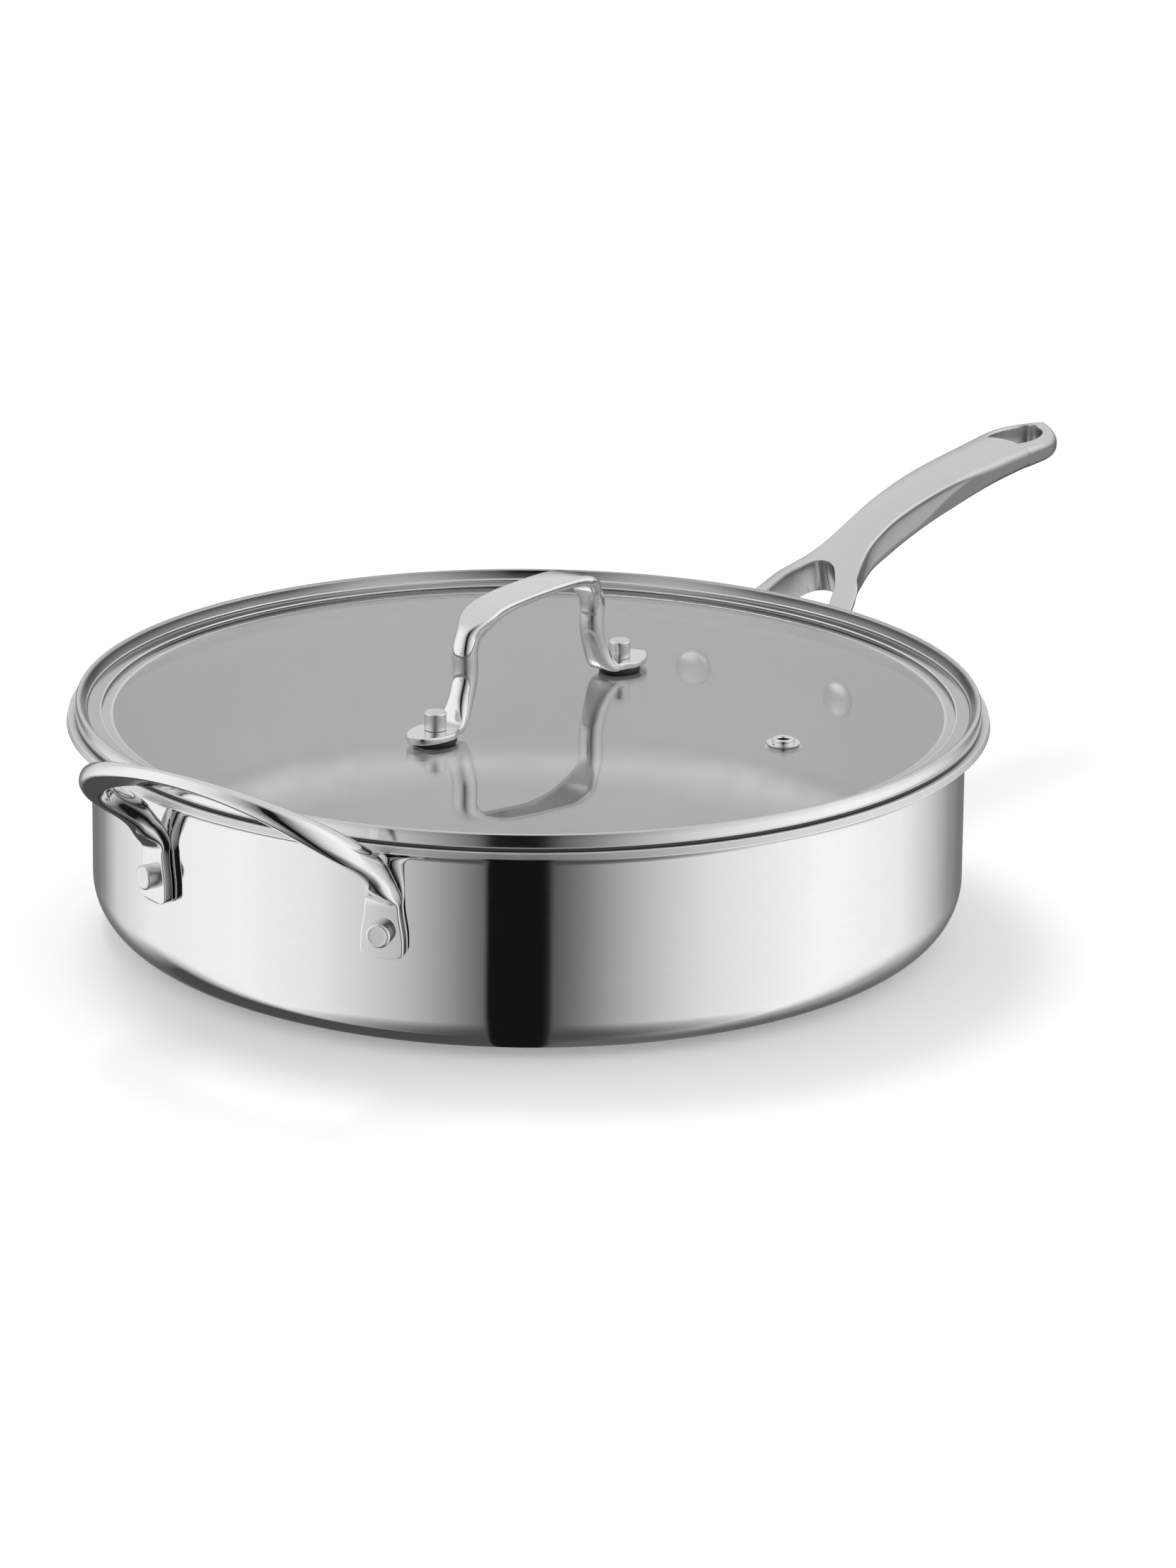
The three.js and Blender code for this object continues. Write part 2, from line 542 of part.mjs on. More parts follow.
// A bent rod: leaf-shaped flat feet, S-curved legs and a broad strap across the top.
function lidHandle() {
  const at = (x, z) => new THREE.Vector3(-x, 0, FOOT_MIDDLE + z);
  const stud = STUD_SPACING / 2;
  const leg = LID_LEG_SPACING / 2;
  const rise = LID_HANDLE_RISE;
  const crown = LID_STRAP_CROWN;
  const toe = at(stud + LID_TOE, 0);
  const heel = at(stud - LID_HEEL, 0);
  const shin = at(leg + 0.4, rise * 0.23);
  const knee = at(leg + 0.7, rise * 0.67);
  const shoulder = at(leg - 10, rise - crown);
  const foot = { width: LID_FOOT_WIDTH, depth: LID_FOOT_DEPTH, round: 0.4 };
  const tip = { ...foot, width: LID_FOOT_WIDTH * 0.3 };
  const ankle = { ...foot, width: LID_FOOT_WIDTH * 0.7 };
  const rod = { width: LID_ROD, depth: LID_ROD, round: 0.85 };
  const fold = { width: (LID_ROD + LID_STRAP_WIDTH) / 2, depth: LID_ROD / 2, round: 0.5 };
  const strap = { width: LID_STRAP_WIDTH, depth: LID_STRAP_DEPTH, round: 0.5 };
  const bend = (...bendPoints) => new THREE.CubicBezierCurve3(...bendPoints);
  const footBend = bend(heel, at(leg + 3.1, 0), at(leg + 2.1, rise * 0.06), shin);
  const legBend = bend(shin, at(leg - 0.8, rise * 0.34), at(leg + 1.3, rise * 0.49), knee);
  const strapBend = bend(knee, at(leg + 0.1, rise * 0.85), at(leg - 3, rise - crown * 1.5), shoulder);
  const strapRun = bend(shoulder, at(leg - 18, rise - crown * 0.2), at(leg * 0.2, rise), at(0, rise));
  const half = stations([
    { curve: new THREE.LineCurve3(toe, at(stud, 0)), steps: 4, from: tip, to: foot, ease: EASE.round },
    { curve: new THREE.LineCurve3(at(stud, 0), heel), steps: 2, from: foot, to: ankle },
    { curve: footBend, steps: 6, from: ankle, to: rod, by: 0.8 },
    { curve: legBend, steps: 4, from: rod, to: rod },
    { curve: strapBend, steps: 5, from: rod, to: fold },
    { curve: strapRun, steps: 5, from: fold, to: strap, by: 0.5 },
  ]);
  const rings = mirrored(half, 0).map((s) => barRing({ ...s, side: SIDEWAYS }));
  const bore = (x) => verticalCylinder(SHANK_RADIUS + BORE_GAP, x, 0, FOOT_UNDER - 1, FOOT_TOP + 1);
  return cut(loft(rings), STUDS.map(({ x }) => bore(x)));
}

const WASHER_UNDER = GLASS_UNDER - STACK_GAP - WASHER_DEPTH;

// Stub on top of the foot, shank through the stack, head under the washer.
function lidStud() {
  const shoulder = FOOT_TOP + STACK_GAP;
  const top = shoulder + STUD_RISE;
  const headTop = WASHER_UNDER - STACK_GAP;
  const edge = new THREE.Vector2(STUD_RADIUS - RIVET_EDGE, top - RIVET_EDGE);
  const headBottom = headTop - STUD_HEAD_HEIGHT;
  const headBevel = STUD_HEAD_HEIGHT / 2;
  const profile = [
    ...points([0, headBottom], [STUD_HEAD_RADIUS - headBevel, headBottom]),
    ...points([STUD_HEAD_RADIUS, headBottom + headBevel], [STUD_HEAD_RADIUS, headTop]),
    ...points([SHANK_RADIUS, headTop], [SHANK_RADIUS, shoulder], [STUD_RADIUS, shoulder]),
    ...arc(edge, RIVET_EDGE, 0, 90, 2),
    ...points([0, top]),
  ];
  return turned(profile, SMALL_STEPS);
}

// A flat ring from a height, `depth` thick.
function ring(bore, radius, from, depth) {
  const to = from + depth;
  return turned(points([bore, from], [radius, from], [radius, to], [bore, to], [bore, from]), SMALL_STEPS);
}

function ventEyelet() {
  const flangeUnder = GLASS_TOP + STACK_GAP;
  const flangeTop = flangeUnder + VENT_FLANGE_DEPTH;
  const rollTop = flangeTop + VENT_COLLAR_RISE;
  const roll = (VENT_COLLAR_RADIUS - VENT_HOLE_RADIUS) / 2;
  const rollCentre = new THREE.Vector2(VENT_HOLE_RADIUS + roll, rollTop - roll);
  const end = GLASS_UNDER - STACK_GAP - VENT_WASHER_DEPTH - STACK_GAP;
  const profile = [
    ...points([VENT_HOLE_RADIUS, end], [VENT_BARREL_RADIUS, end], [VENT_BARREL_RADIUS, flangeUnder]),
    ...points([VENT_FLANGE_RADIUS, flangeUnder], [VENT_FLANGE_RADIUS, flangeTop]),
    ...points([VENT_COLLAR_RADIUS, flangeTop]),
    ...arc(rollCentre, roll, 0, 180, 4),
    ...points([VENT_HOLE_RADIUS, end]),
  ];
  return turned(profile, SMALL_STEPS);
}

const steel = () => new THREE.MeshStandardMaterial({ color: 0xc9cbcc, metalness: 1, roughness: 0.22 });
const satin = () => new THREE.MeshStandardMaterial({ color: 0xbfc1c2, metalness: 1, roughness: 0.42 });
const aluminium = () => new THREE.MeshStandardMaterial({ color: 0xaeb1b4, metalness: 1, roughness: 0.5 });
const silicone = () => new THREE.MeshStandardMaterial({ color: 0x3a3b3c, metalness: 0, roughness: 0.7 });
const glass = () => new THREE.MeshStandardMaterial({
  color: 0xd5dad9, metalness: 0, roughness: 0.05, transparent: true, opacity: 0.35,
});

function piece(name, geometry, material) {
  const mesh = new THREE.Mesh(geometry, material);
  mesh.name = name;
  return mesh;
}

const pan = new THREE.Group();
pan.add(piece('pan_outer_skin', panLayer(0, SKIN), steel()));
pan.add(piece('pan_core', panLayer(SKIN + BOND_GAP, SKIN + CORE - BOND_GAP), aluminium()));
pan.add(piece('pan_inner_skin', panLayer(SKIN + CORE, WALL), satin()));
pan.add(piece('long_handle', longHandle(), satin()));
pan.add(piece('helper_handle', helperHandle(), steel()));
for (const { name, angle, height, end } of RIVETS) {
  const mesh = piece(name, rivet(end), satin());
  mesh.rotation.z = radians(angle);
  mesh.position.z = height;
  pan.add(mesh);
}

const lid = new THREE.Group();
lid.add(piece('lid_ring', lidRing(), steel()));
lid.add(piece('lid_glass', lidGlass(), glass()));
lid.add(piece('lid_handle', lidHandle(), steel()));
const gasket = () => ring(SHANK_RADIUS + BORE_GAP, GASKET_RADIUS, GLASS_TOP, GASKET_DEPTH);
const washer = () => ring(SHANK_RADIUS + BORE_GAP, WASHER_RADIUS, WASHER_UNDER, WASHER_DEPTH);
for (const { end, x } of STUDS) {
  const stack = new THREE.Group();
  stack.position.x = x;
  stack.add(piece(`lid_stud_${end}`, lidStud(), satin()));
  stack.add(piece(`lid_gasket_${end}`, gasket(), silicone()));
  stack.add(piece(`lid_washer_${end}`, washer(), satin()));
  lid.add(stack);
}
const vent = new THREE.Group();
vent.position.set(VENT_X, VENT_Y, 0);
const ventBore = VENT_BARREL_RADIUS + BORE_GAP;
const ventWasherUnder = GLASS_UNDER - STACK_GAP - VENT_WASHER_DEPTH;
const ventWasher = ring(ventBore, VENT_WASHER_RADIUS, ventWasherUnder, VENT_WASHER_DEPTH);
vent.add(piece('vent_eyelet', ventEyelet(), steel()));
vent.add(piece('vent_washer', ventWasher, satin()));
lid.add(vent);

const multiPan = new THREE.Group();
multiPan.add(pan, lid);

export default multiPan;
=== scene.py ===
# %% [markdown]
# # A clad saute pan with a glass lid
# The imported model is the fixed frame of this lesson: its nodes say where each piece goes and which body
# it moves with. Here every visible piece is made again with finer curves and its own finish, at the same
# place, because a turned steel wall only looks like steel when its outline and reflections run smoothly.

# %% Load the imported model
from math import comb

import bmesh
import bpy
import numpy as np
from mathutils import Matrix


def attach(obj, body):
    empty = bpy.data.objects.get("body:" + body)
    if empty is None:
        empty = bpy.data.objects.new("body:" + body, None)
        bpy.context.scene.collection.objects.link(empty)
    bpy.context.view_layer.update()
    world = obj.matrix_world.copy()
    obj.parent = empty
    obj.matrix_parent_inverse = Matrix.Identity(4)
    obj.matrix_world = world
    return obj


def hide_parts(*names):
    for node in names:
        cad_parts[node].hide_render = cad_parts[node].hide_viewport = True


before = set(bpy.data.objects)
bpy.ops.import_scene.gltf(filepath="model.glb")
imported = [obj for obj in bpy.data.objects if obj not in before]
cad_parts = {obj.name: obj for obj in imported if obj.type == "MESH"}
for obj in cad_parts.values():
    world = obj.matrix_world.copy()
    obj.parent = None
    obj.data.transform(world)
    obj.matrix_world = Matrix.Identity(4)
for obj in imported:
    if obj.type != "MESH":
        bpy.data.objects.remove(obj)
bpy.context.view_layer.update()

MM = 0.001

# %% [markdown]
# ## From a grid of points to a mesh
# Most pieces here are turned on a lathe or bent from bar, and both are a grid: one direction runs round
# the piece and the other along it. A grid could be modelled by hand with Spin or Curve objects, but as an
# array its every point comes from one formula. Points that fall together, at a pole or a seam, are merged.

# %% Grid helpers
SHARP_ANGLE = np.radians(38)
MERGE_DISTANCE = 0.002 * MM


def grid_faces(rows, columns, round_rows, round_columns):
    """Each face joins a grid point to its next neighbour along the row, across it, and back."""
    index = np.arange(rows * columns).reshape(rows, columns)
    if round_rows:
        index = np.vstack([index, index[:1]])
    if round_columns:
        index = np.hstack([index, index[:, :1]])
    corners = [index[:-1, :-1], index[1:, :-1], index[1:, 1:], index[:-1, 1:]]
    return np.stack(corners, -1).reshape(-1, 4)


def closed_mesh(name, points, faces, painted_light=None):
    """Points in mm become a mesh in metres, with doubles merged, normals outwards and sharp edges kept."""
    mesh = bpy.data.meshes.new(name)
    mesh.from_pydata((points.reshape(-1, 3) * MM).tolist(), [], faces.tolist())
    # A piece may carry painted light and shade at its points, which its finish multiplies into its colour.
    if painted_light is not None:
        mesh.attributes.new("painted_light", "FLOAT", "POINT").data.foreach_set("value", painted_light.ravel())
    work = bmesh.new()
    work.from_mesh(mesh)
    bmesh.ops.remove_doubles(work, verts=work.verts, dist=MERGE_DISTANCE)
    bmesh.ops.dissolve_degenerate(work, edges=work.edges, dist=MERGE_DISTANCE)
    bmesh.ops.recalc_face_normals(work, faces=work.faces)
    work.to_mesh(mesh)
    work.free()
    mesh.shade_smooth()
    mesh.set_sharp_from_angle(angle=SHARP_ANGLE)
    return mesh


def add_object(name, data):
    """A new object in the scene, at the origin."""
    made = bpy.data.objects.new(name, data)
    bpy.context.scene.collection.objects.link(made)
    return made


def place(mesh, node, body, finish):
    """The piece stands for its CAD node, moves with its body and takes a finish."""
    piece = add_object(mesh.name, mesh)
    mesh.materials.append(finish)
    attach(piece, body)
    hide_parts(node)
    print(mesh.name, "faces:", len(mesh.polygons))


# %% [markdown]
# ## Profiles and turning
# A pressed pan, a rolled band and a rivet are all round, so each is one profile carried round an axis.
# Real pressed edges are never knife sharp: every corner of a profile is eased with a short curve, and that
# thin curve is what catches the light along a rim.

# %% Turned pieces
ROUND_STEPS = 240
SMALL_STEPS = 64


def soften(corners, radius, steps=6):
    """Each corner becomes a curve: (1-t)^2 of a point before, 2t(1-t) of it and t^2 of a point after."""
    corners = np.asarray(corners, float)
    back = np.roll(corners, 1, 0) - corners
    on = np.roll(corners, -1, 0) - corners
    back_length = np.linalg.norm(back, axis=1)
    on_length = np.linalg.norm(on, axis=1)
    reach = np.minimum(radius, 0.45 * np.minimum(back_length, on_length))[:, None]
    before = corners + back / back_length[:, None] * reach
    after = corners + on / on_length[:, None] * reach
    t = np.linspace(0, 1, steps)[None, :, None]
    return (1 - t) ** 2 * before[:, None] + 2 * t * (1 - t) * corners[:, None] + t**2 * after[:, None]


def arc(centre, radius, start, end, steps):
    """Points at equal angles on a circle: centre plus radius times the cosine and sine."""
    angle = np.radians(np.linspace(start, end, steps))
    return np.column_stack([centre[0] + radius * np.cos(angle), centre[1] + radius * np.sin(angle)])


def turned(name, profile, steps, place_point=None, painted_light=None):
    """A profile point at radius r and height z goes round Z: x = r cos a, y = r sin a."""
    profile = np.asarray(profile, float).reshape(-1, 2)
    angle = np.linspace(0, 2 * np.pi, steps, endpoint=False)[:, None]
    radius, height = profile[:, 0][None], profile[:, 1][None]
    grid = np.stack([radius * np.cos(angle), radius * np.sin(angle), height + 0 * angle], -1)
    if place_point is not None:
        grid = place_point(grid)
    return closed_mesh(name, grid, grid_faces(*grid.shape[:2], True, True), painted_light)


def shifted(x, y):
    """A function that moves a turned piece's points sideways."""
    return lambda grid: grid + [x, y, 0]


# %% [markdown]
# ## Shared surface effects
# Polished steel is never one even grey: fine polishing lines follow the way the piece was turned, and
# wiping leaves soft cloudy marks that change only its gloss. Both are made once as node groups, with named
# inputs, and each finish sets its own scale and strength.

# %% Effect groups
UNROLL_RADIUS = 0.14
BUMP_DISTANCE = 0.0002
CLOUD_RANGE = (0.12, 0.42)
FINER_CLOUDS = 6.0


def node_group(name, inputs, outputs):
    """An empty shader group with named sockets, and its input and output nodes."""
    group = bpy.data.node_groups.new(name, "ShaderNodeTree")
    for socket, kind, value in inputs:
        made = group.interface.new_socket(socket, in_out="INPUT", socket_type=kind)
        if value is not None:
            made.default_value = value
    for socket, kind in outputs:
        group.interface.new_socket(socket, in_out="OUTPUT", socket_type=kind)
    return group, group.nodes.new("NodeGroupInput"), group.nodes.new("NodeGroupOutput")


def feed(tree, node, values):
    """Feeds a node's inputs: another node's socket is linked, a plain number or colour is set."""
    for name, value in values.items():
        if isinstance(value, bpy.types.NodeSocket):
            tree.links.new(value, node.inputs[name])
        else:
            node.inputs[name].default_value = value
    return node


def math_node(tree, operation, *values):
    """A Math node on sockets or plain numbers, returning its result socket."""
    node = tree.nodes.new("ShaderNodeMath")
    node.operation = operation
    return feed(tree, node, dict(enumerate(values))).outputs[0]


def noise_node(tree, vector, scale, detail):
    """A Noise Texture on a vector socket, returning its value socket."""
    node = tree.nodes.new("ShaderNodeTexNoise")
    return feed(tree, node, {"Vector": vector, "Scale": scale, "Detail": detail}).outputs[0]


def range_node(tree, value, low, high, to_low, to_high):
    """A Map Range node: low..high of the value becomes to_low..to_high, clamped."""
    node = tree.nodes.new("ShaderNodeMapRange")
    limits = {"From Min": low, "From Max": high, "To Min": to_low, "To Max": to_high}
    return feed(tree, node, {"Value": value, **limits}).outputs["Result"]


def mix_node(tree, factor, first, second, blend="MIX"):
    """A colour Mix node on sockets or plain colours, returning its result socket."""
    node = tree.nodes.new("ShaderNodeMix")
    node.data_type, node.blend_type = "RGBA", blend
    return feed(tree, node, {"Factor": factor, "A": first, "B": second}).outputs["Result"]


def bump_node(tree, height, strength):
    """A Bump node of a fixed small depth, returning its normal."""
    node = tree.nodes.new("ShaderNodeBump")
    feed(tree, node, {"Distance": BUMP_DISTANCE, "Strength": strength, "Height": height})
    return node.outputs["Normal"]


def group_node(tree, group, values):
    """A group with its named inputs fed, returning its one output."""
    node = tree.nodes.new("ShaderNodeGroup")
    node.node_tree = group
    return feed(tree, node, values).outputs[0]


def grey(value):
    """An even grey as a colour."""
    return (value, value, value, 1)


def polish_lines_group():
    """Noise stretched along one direction: the vector is scaled per axis, so long thin streaks appear."""
    group, given, result = node_group(
        "polish_lines",
        [("Vector", "NodeSocketVector", None), ("Stretch", "NodeSocketVector", None)],
        [("Lines", "NodeSocketFloat")])
    scaled = group.nodes.new("ShaderNodeVectorMath")
    scaled.operation = "MULTIPLY"
    feed(group, scaled, {0: given.outputs["Vector"], 1: given.outputs["Stretch"]})
    feed(group, result, {"Lines": noise_node(group, scaled.outputs[0], 1.0, 3.0)})
    return group


def around_group():
    """Object coordinates unrolled round Z: angle times a radius, distance from the axis, height."""
    group, given, result = node_group(
        "unrolled", [("Vector", "NodeSocketVector", None)], [("Vector", "NodeSocketVector")])
    parts = group.nodes.new("ShaderNodeSeparateXYZ")
    group.links.new(given.outputs["Vector"], parts.inputs[0])
    across, along = parts.outputs["X"], parts.outputs["Y"]
    angle = math_node(group, "ARCTAN2", along, across)
    square = math_node(group, "ADD", math_node(group, "MULTIPLY", across, across),
                       math_node(group, "MULTIPLY", along, along))
    joined = group.nodes.new("ShaderNodeCombineXYZ")
    round_axis = math_node(group, "MULTIPLY", angle, UNROLL_RADIUS)
    feed(group, joined, {"X": round_axis, "Y": math_node(group, "SQRT", square), "Z": parts.outputs["Z"]})
    group.links.new(joined.outputs[0], result.inputs["Vector"])
    return group


def wiping_group():
    """Two scales of soft noise multiplied: broad clouds broken by smaller ones, between two roughnesses."""
    group, given, result = node_group(
        "wiping_marks",
        [("Vector", "NodeSocketVector", None), ("Scale", "NodeSocketFloat", 20.0),
         ("Clear", "NodeSocketFloat", 0.08), ("Wiped", "NodeSocketFloat", 0.16)],
        [("Roughness", "NodeSocketFloat")])
    broad = noise_node(group, given.outputs["Vector"], given.outputs["Scale"], 2.0)
    finer = noise_node(group, given.outputs["Vector"],
                       math_node(group, "MULTIPLY", given.outputs["Scale"], FINER_CLOUDS), 4.0)
    mixed = math_node(group, "MULTIPLY", broad, finer)
    rough = range_node(group, mixed, *CLOUD_RANGE, given.outputs["Clear"], given.outputs["Wiped"])
    group.links.new(rough, result.inputs["Roughness"])
    return group


POLISH_LINES = polish_lines_group()
UNROLLED = around_group()
WIPING = wiping_group()
print("effect groups:", [g.name for g in (POLISH_LINES, UNROLLED, WIPING)])

# %% [markdown]
# ## Steel finishes
# One kind of steel appears in several polishes: mirror bright on the pressed and bent pieces, satin on the
# cast handle and the cooking surface. A finish differs in the direction of its polishing lines, in how deep
# they are and in how much gloss the wiping leaves, so one function makes them all. The cast handle and the
# lid's ring also carry painted light at each point: painted shade in narrow grooves and on the handle's
# flanks, and painted highlights on edges and on a facet of each flank.

# %% Steel
LINE_TINT = 0.03
LINE_LIFT = 0.6


def new_finish(name):
    """A node material with its Principled shader and a Texture Coordinate node."""
    finish = bpy.data.materials.new(name)
    finish.use_nodes = True
    tree = finish.node_tree
    return finish, tree, tree.nodes["Principled BSDF"], tree.nodes.new("ShaderNodeTexCoord")


def steel_finish(name, colour, stretch, clear, wiped, depth, turned_lines):
    """Steel whose polishing lines tint it slightly, lift its roughness and stand as a fine bump."""
    finish, tree, shader, coords = new_finish(name)
    shader.inputs["Metallic"].default_value = 1.0
    where = coords.outputs["Object"]
    line_space = group_node(tree, UNROLLED, {"Vector": where}) if turned_lines else where
    lines = group_node(tree, POLISH_LINES, {"Vector": line_space, "Stretch": stretch})
    gloss = group_node(tree, WIPING, {"Vector": where, "Clear": clear, "Wiped": wiped})
    dark, light = ((*[c * share for c in colour], 1) for share in (1 - LINE_TINT, 1 + LINE_TINT))
    rough = math_node(tree, "MULTIPLY_ADD", lines, (wiped - clear) * LINE_LIFT, gloss)
    tint, normal = mix_node(tree, lines, dark, light), bump_node(tree, lines, depth)
    feed(tree, shader, {"Base Color": tint, "Roughness": rough, "Normal": normal})
    return finish


def with_painted_light(finish):
    """Multiplies a finish's colour by the painted light and shade that the mesh carries at its points."""
    tree = finish.node_tree
    shader = tree.nodes["Principled BSDF"]
    colour = shader.inputs["Base Color"].links[0].from_socket
    carried = tree.nodes.new("ShaderNodeAttribute")
    carried.attribute_name = "painted_light"
    product = mix_node(tree, 1.0, colour, carried.outputs["Color"], "MULTIPLY")
    tree.links.new(product, shader.inputs["Base Color"])
    return finish


STEEL, RIVET, COOKING, CAST = (0.76, 0.765, 0.77), (0.74,) * 3, (0.80,) * 3, (0.70,) * 3
ALUMINIUM = (0.66, 0.67, 0.68)
ROUND_LINES, LONG_LINES = (60, 1500, 1500), (90, 2200, 2200)
BENT_GRAIN, RIVET_GRAIN = (700, 700, 700), (1400, 1400, 1400)
# After the colour: stretch of the lines, roughness clear and wiped, depth of the lines, turned round Z.
mirror_steel = steel_finish("mirror_steel", STEEL, ROUND_LINES, 0.02, 0.06, 0.015, True)
# This finish and the cast one below multiply in the painted light and shade that their meshes carry.
rolled_steel_painted_light = with_painted_light(steel_finish("rolled_steel_painted_light", STEEL, ROUND_LINES, 0.10, 0.15, 0.02, True))
bent_steel = steel_finish("bent_steel", STEEL, BENT_GRAIN, 0.04, 0.09, 0.02, False)
cooking_steel = steel_finish("cooking_steel", COOKING, ROUND_LINES, 0.42, 0.52, 0.12, True)
cast_steel_painted_light = with_painted_light(steel_finish("cast_steel_painted_light", CAST, LONG_LINES, 0.22, 0.32, 0.10, False))
rivet_steel = steel_finish("rivet_steel", RIVET, RIVET_GRAIN, 0.24, 0.34, 0.10, False)
core_aluminium = steel_finish("core_aluminium", ALUMINIUM, ROUND_LINES, 0.36, 0.46, 0.10, True)

# %% [markdown]
# ## Glass and silicone
# The lid's tempered glass is clear with a faint grey cast, so it is a real transmitting solid and the pan
# shows through it. The silicone rings under the handle are matt and nearly black, with a fine moulded grain.

# %% Glass and silicone
GLASS_TINT = (0.98, 0.99, 0.985, 1)
GLASS_INDEX = 1.8
WIPED_GLASS = 0.012
SILICONE_DARK, SILICONE_LIGHT = (0.03, 0.03, 0.031, 1), (0.06, 0.06, 0.062, 1)
SILICONE_GRAIN = 2600.0


def glass_finish():
    """Clear glass with a faint cast; wiping marks change only its gloss."""
    finish, tree, shader, coords = new_finish("lid_glass")
    shader.inputs["Base Color"].default_value = GLASS_TINT
    shader.inputs["Transmission Weight"].default_value = 1.0
    shader.inputs["IOR"].default_value = GLASS_INDEX
    gloss = group_node(tree, WIPING, {"Vector": coords.outputs["Object"], "Clear": 0.0, "Wiped": WIPED_GLASS})
    tree.links.new(gloss, shader.inputs["Roughness"])
    return finish


def silicone_finish():
    """Matt dark rubber: fine noise varies its grey and its gloss and stands as a small bump."""
    finish, tree, shader, coords = new_finish("silicone")
    grain = noise_node(tree, coords.outputs["Object"], SILICONE_GRAIN, 3.0)
    shade = mix_node(tree, grain, SILICONE_DARK, SILICONE_LIGHT)
    rough = range_node(tree, grain, 0.3, 0.7, 0.55, 0.7)
    feed(tree, shader, {"Base Color": shade, "Roughness": rough, "Normal": bump_node(tree, grain, 0.15)})
    return finish


lid_glass = glass_finish()
silicone = silicone_finish()

# %% [markdown]
# ## The pan's three layers
# A clad pan is pressed from one sandwich of sheets: steel outside, aluminium in the middle, steel inside.
# Each layer is the same line at two depths under the outer face, so the layers lie on each other all the
# way from the floor to the cut edge of the lip, where the middle one shows as a thin line.

# %% Pan
WALL_RADIUS = 142
CORNER_RADIUS = 18
FLARE_RADIUS = 5
FLARE_CENTRE = np.array([147, 63.005])
FLARE_END = 102
LIP_RUN = 4.13
SKIN = 0.5
CORE = 1.5
BOND_GAP = 0.01
FLOOR_RADII = [0, 60, 105]
LIP_EASE, BOND_EASE = 0.35, 0.05


def pan_line(depth):
    """Floor, corner arc, wall, flare arc and sloped lip at a depth under the outer face."""
    floor = np.column_stack([FLOOR_RADII, np.full(len(FLOOR_RADII), depth)])
    corner_centre = (WALL_RADIUS - CORNER_RADIUS, CORNER_RADIUS)
    corner = arc(corner_centre, CORNER_RADIUS - depth, -90, 0, 28)
    flare = arc(FLARE_CENTRE, FLARE_RADIUS + depth, 180, FLARE_END, 24)
    slope = np.radians(FLARE_END)
    lip = flare[-1] + LIP_RUN * np.array([np.sin(slope), -np.cos(slope)])
    return np.vstack([floor, corner, flare, lip])


def pan_layer(name, outside, inside, edge_radii):
    """One depth's line out to the lip and the other's line back, with the lip's two edges eased."""
    out, back = pan_line(outside), pan_line(inside)[::-1]
    edge = soften(np.vstack([out[-2:], back[:2]]), np.array([0, *edge_radii, 0]))[1:3].reshape(-1, 2)
    return turned(name, np.vstack([out[:-1], edge, back[1:]]), ROUND_STEPS)


core_from, core_to = SKIN + BOND_GAP, SKIN + CORE - BOND_GAP
outer_skin = pan_layer("pan_outer_sheet", 0, SKIN, (LIP_EASE, BOND_EASE))
core_layer = pan_layer("pan_core_sheet", core_from, core_to, (BOND_EASE, BOND_EASE))
inner_skin = pan_layer("pan_inner_sheet", SKIN + CORE, 2 * SKIN + CORE, (BOND_EASE, LIP_EASE))
place(outer_skin, "pan_outer_skin", "pan", mirror_steel)
place(core_layer, "pan_core", "pan", core_aluminium)
place(inner_skin, "pan_inner_skin", "pan", cooking_steel)

# %% [markdown]
# ## Rivets
# Each handle foot is held by a solid rivet: a low dome inside the pan, a shank through the wall and the
# foot, and a flat stub outside with a narrow chamfer. It is turned like the rest and then laid on its side
# along the pan's radius.

# %% Rivets
PAD_FACE = WALL_RADIUS + 0.3
RIVET_RADIUS = 4
HEAD_RADIUS = 6.4
HEAD_HEIGHT = 3
HEAD_BASE = 139.0
STUB_CHAMFER, STUB_RIM, STUB_DISH = 0.6, 1.5, 0.08


def rivet_profile(end):
    """Dome as a flat ellipse, shank, and a stub whose end has a narrow chamfer ring."""
    angle = np.radians(np.linspace(0, 90, 16))
    dome = np.column_stack([HEAD_RADIUS * np.sin(angle), HEAD_BASE - HEAD_HEIGHT * np.cos(angle)])
    stub = soften(
        [[RIVET_RADIUS, HEAD_BASE], [RIVET_RADIUS, end - STUB_CHAMFER], [RIVET_RADIUS - STUB_CHAMFER, end],
         [RIVET_RADIUS - STUB_RIM, end - STUB_DISH], [0, end - STUB_DISH]], np.array([0, 0.3, 0.3, 0.3, 0]))
    return np.vstack([dome, stub.reshape(-1, 2)])


def along_radius(angle, height):
    """Turns a rivet's axis from Z to the pan's radius at an angle, at a height."""
    turn = np.radians(angle)
    out = np.array([np.cos(turn), np.sin(turn), 0])
    side = np.array([-np.sin(turn), np.cos(turn), 0])
    up = np.array([0, 0, 1])

    def moved(grid):
        return grid[..., :1] * side + grid[..., 1:2] * up + grid[..., 2:] * out + height * up
    return moved


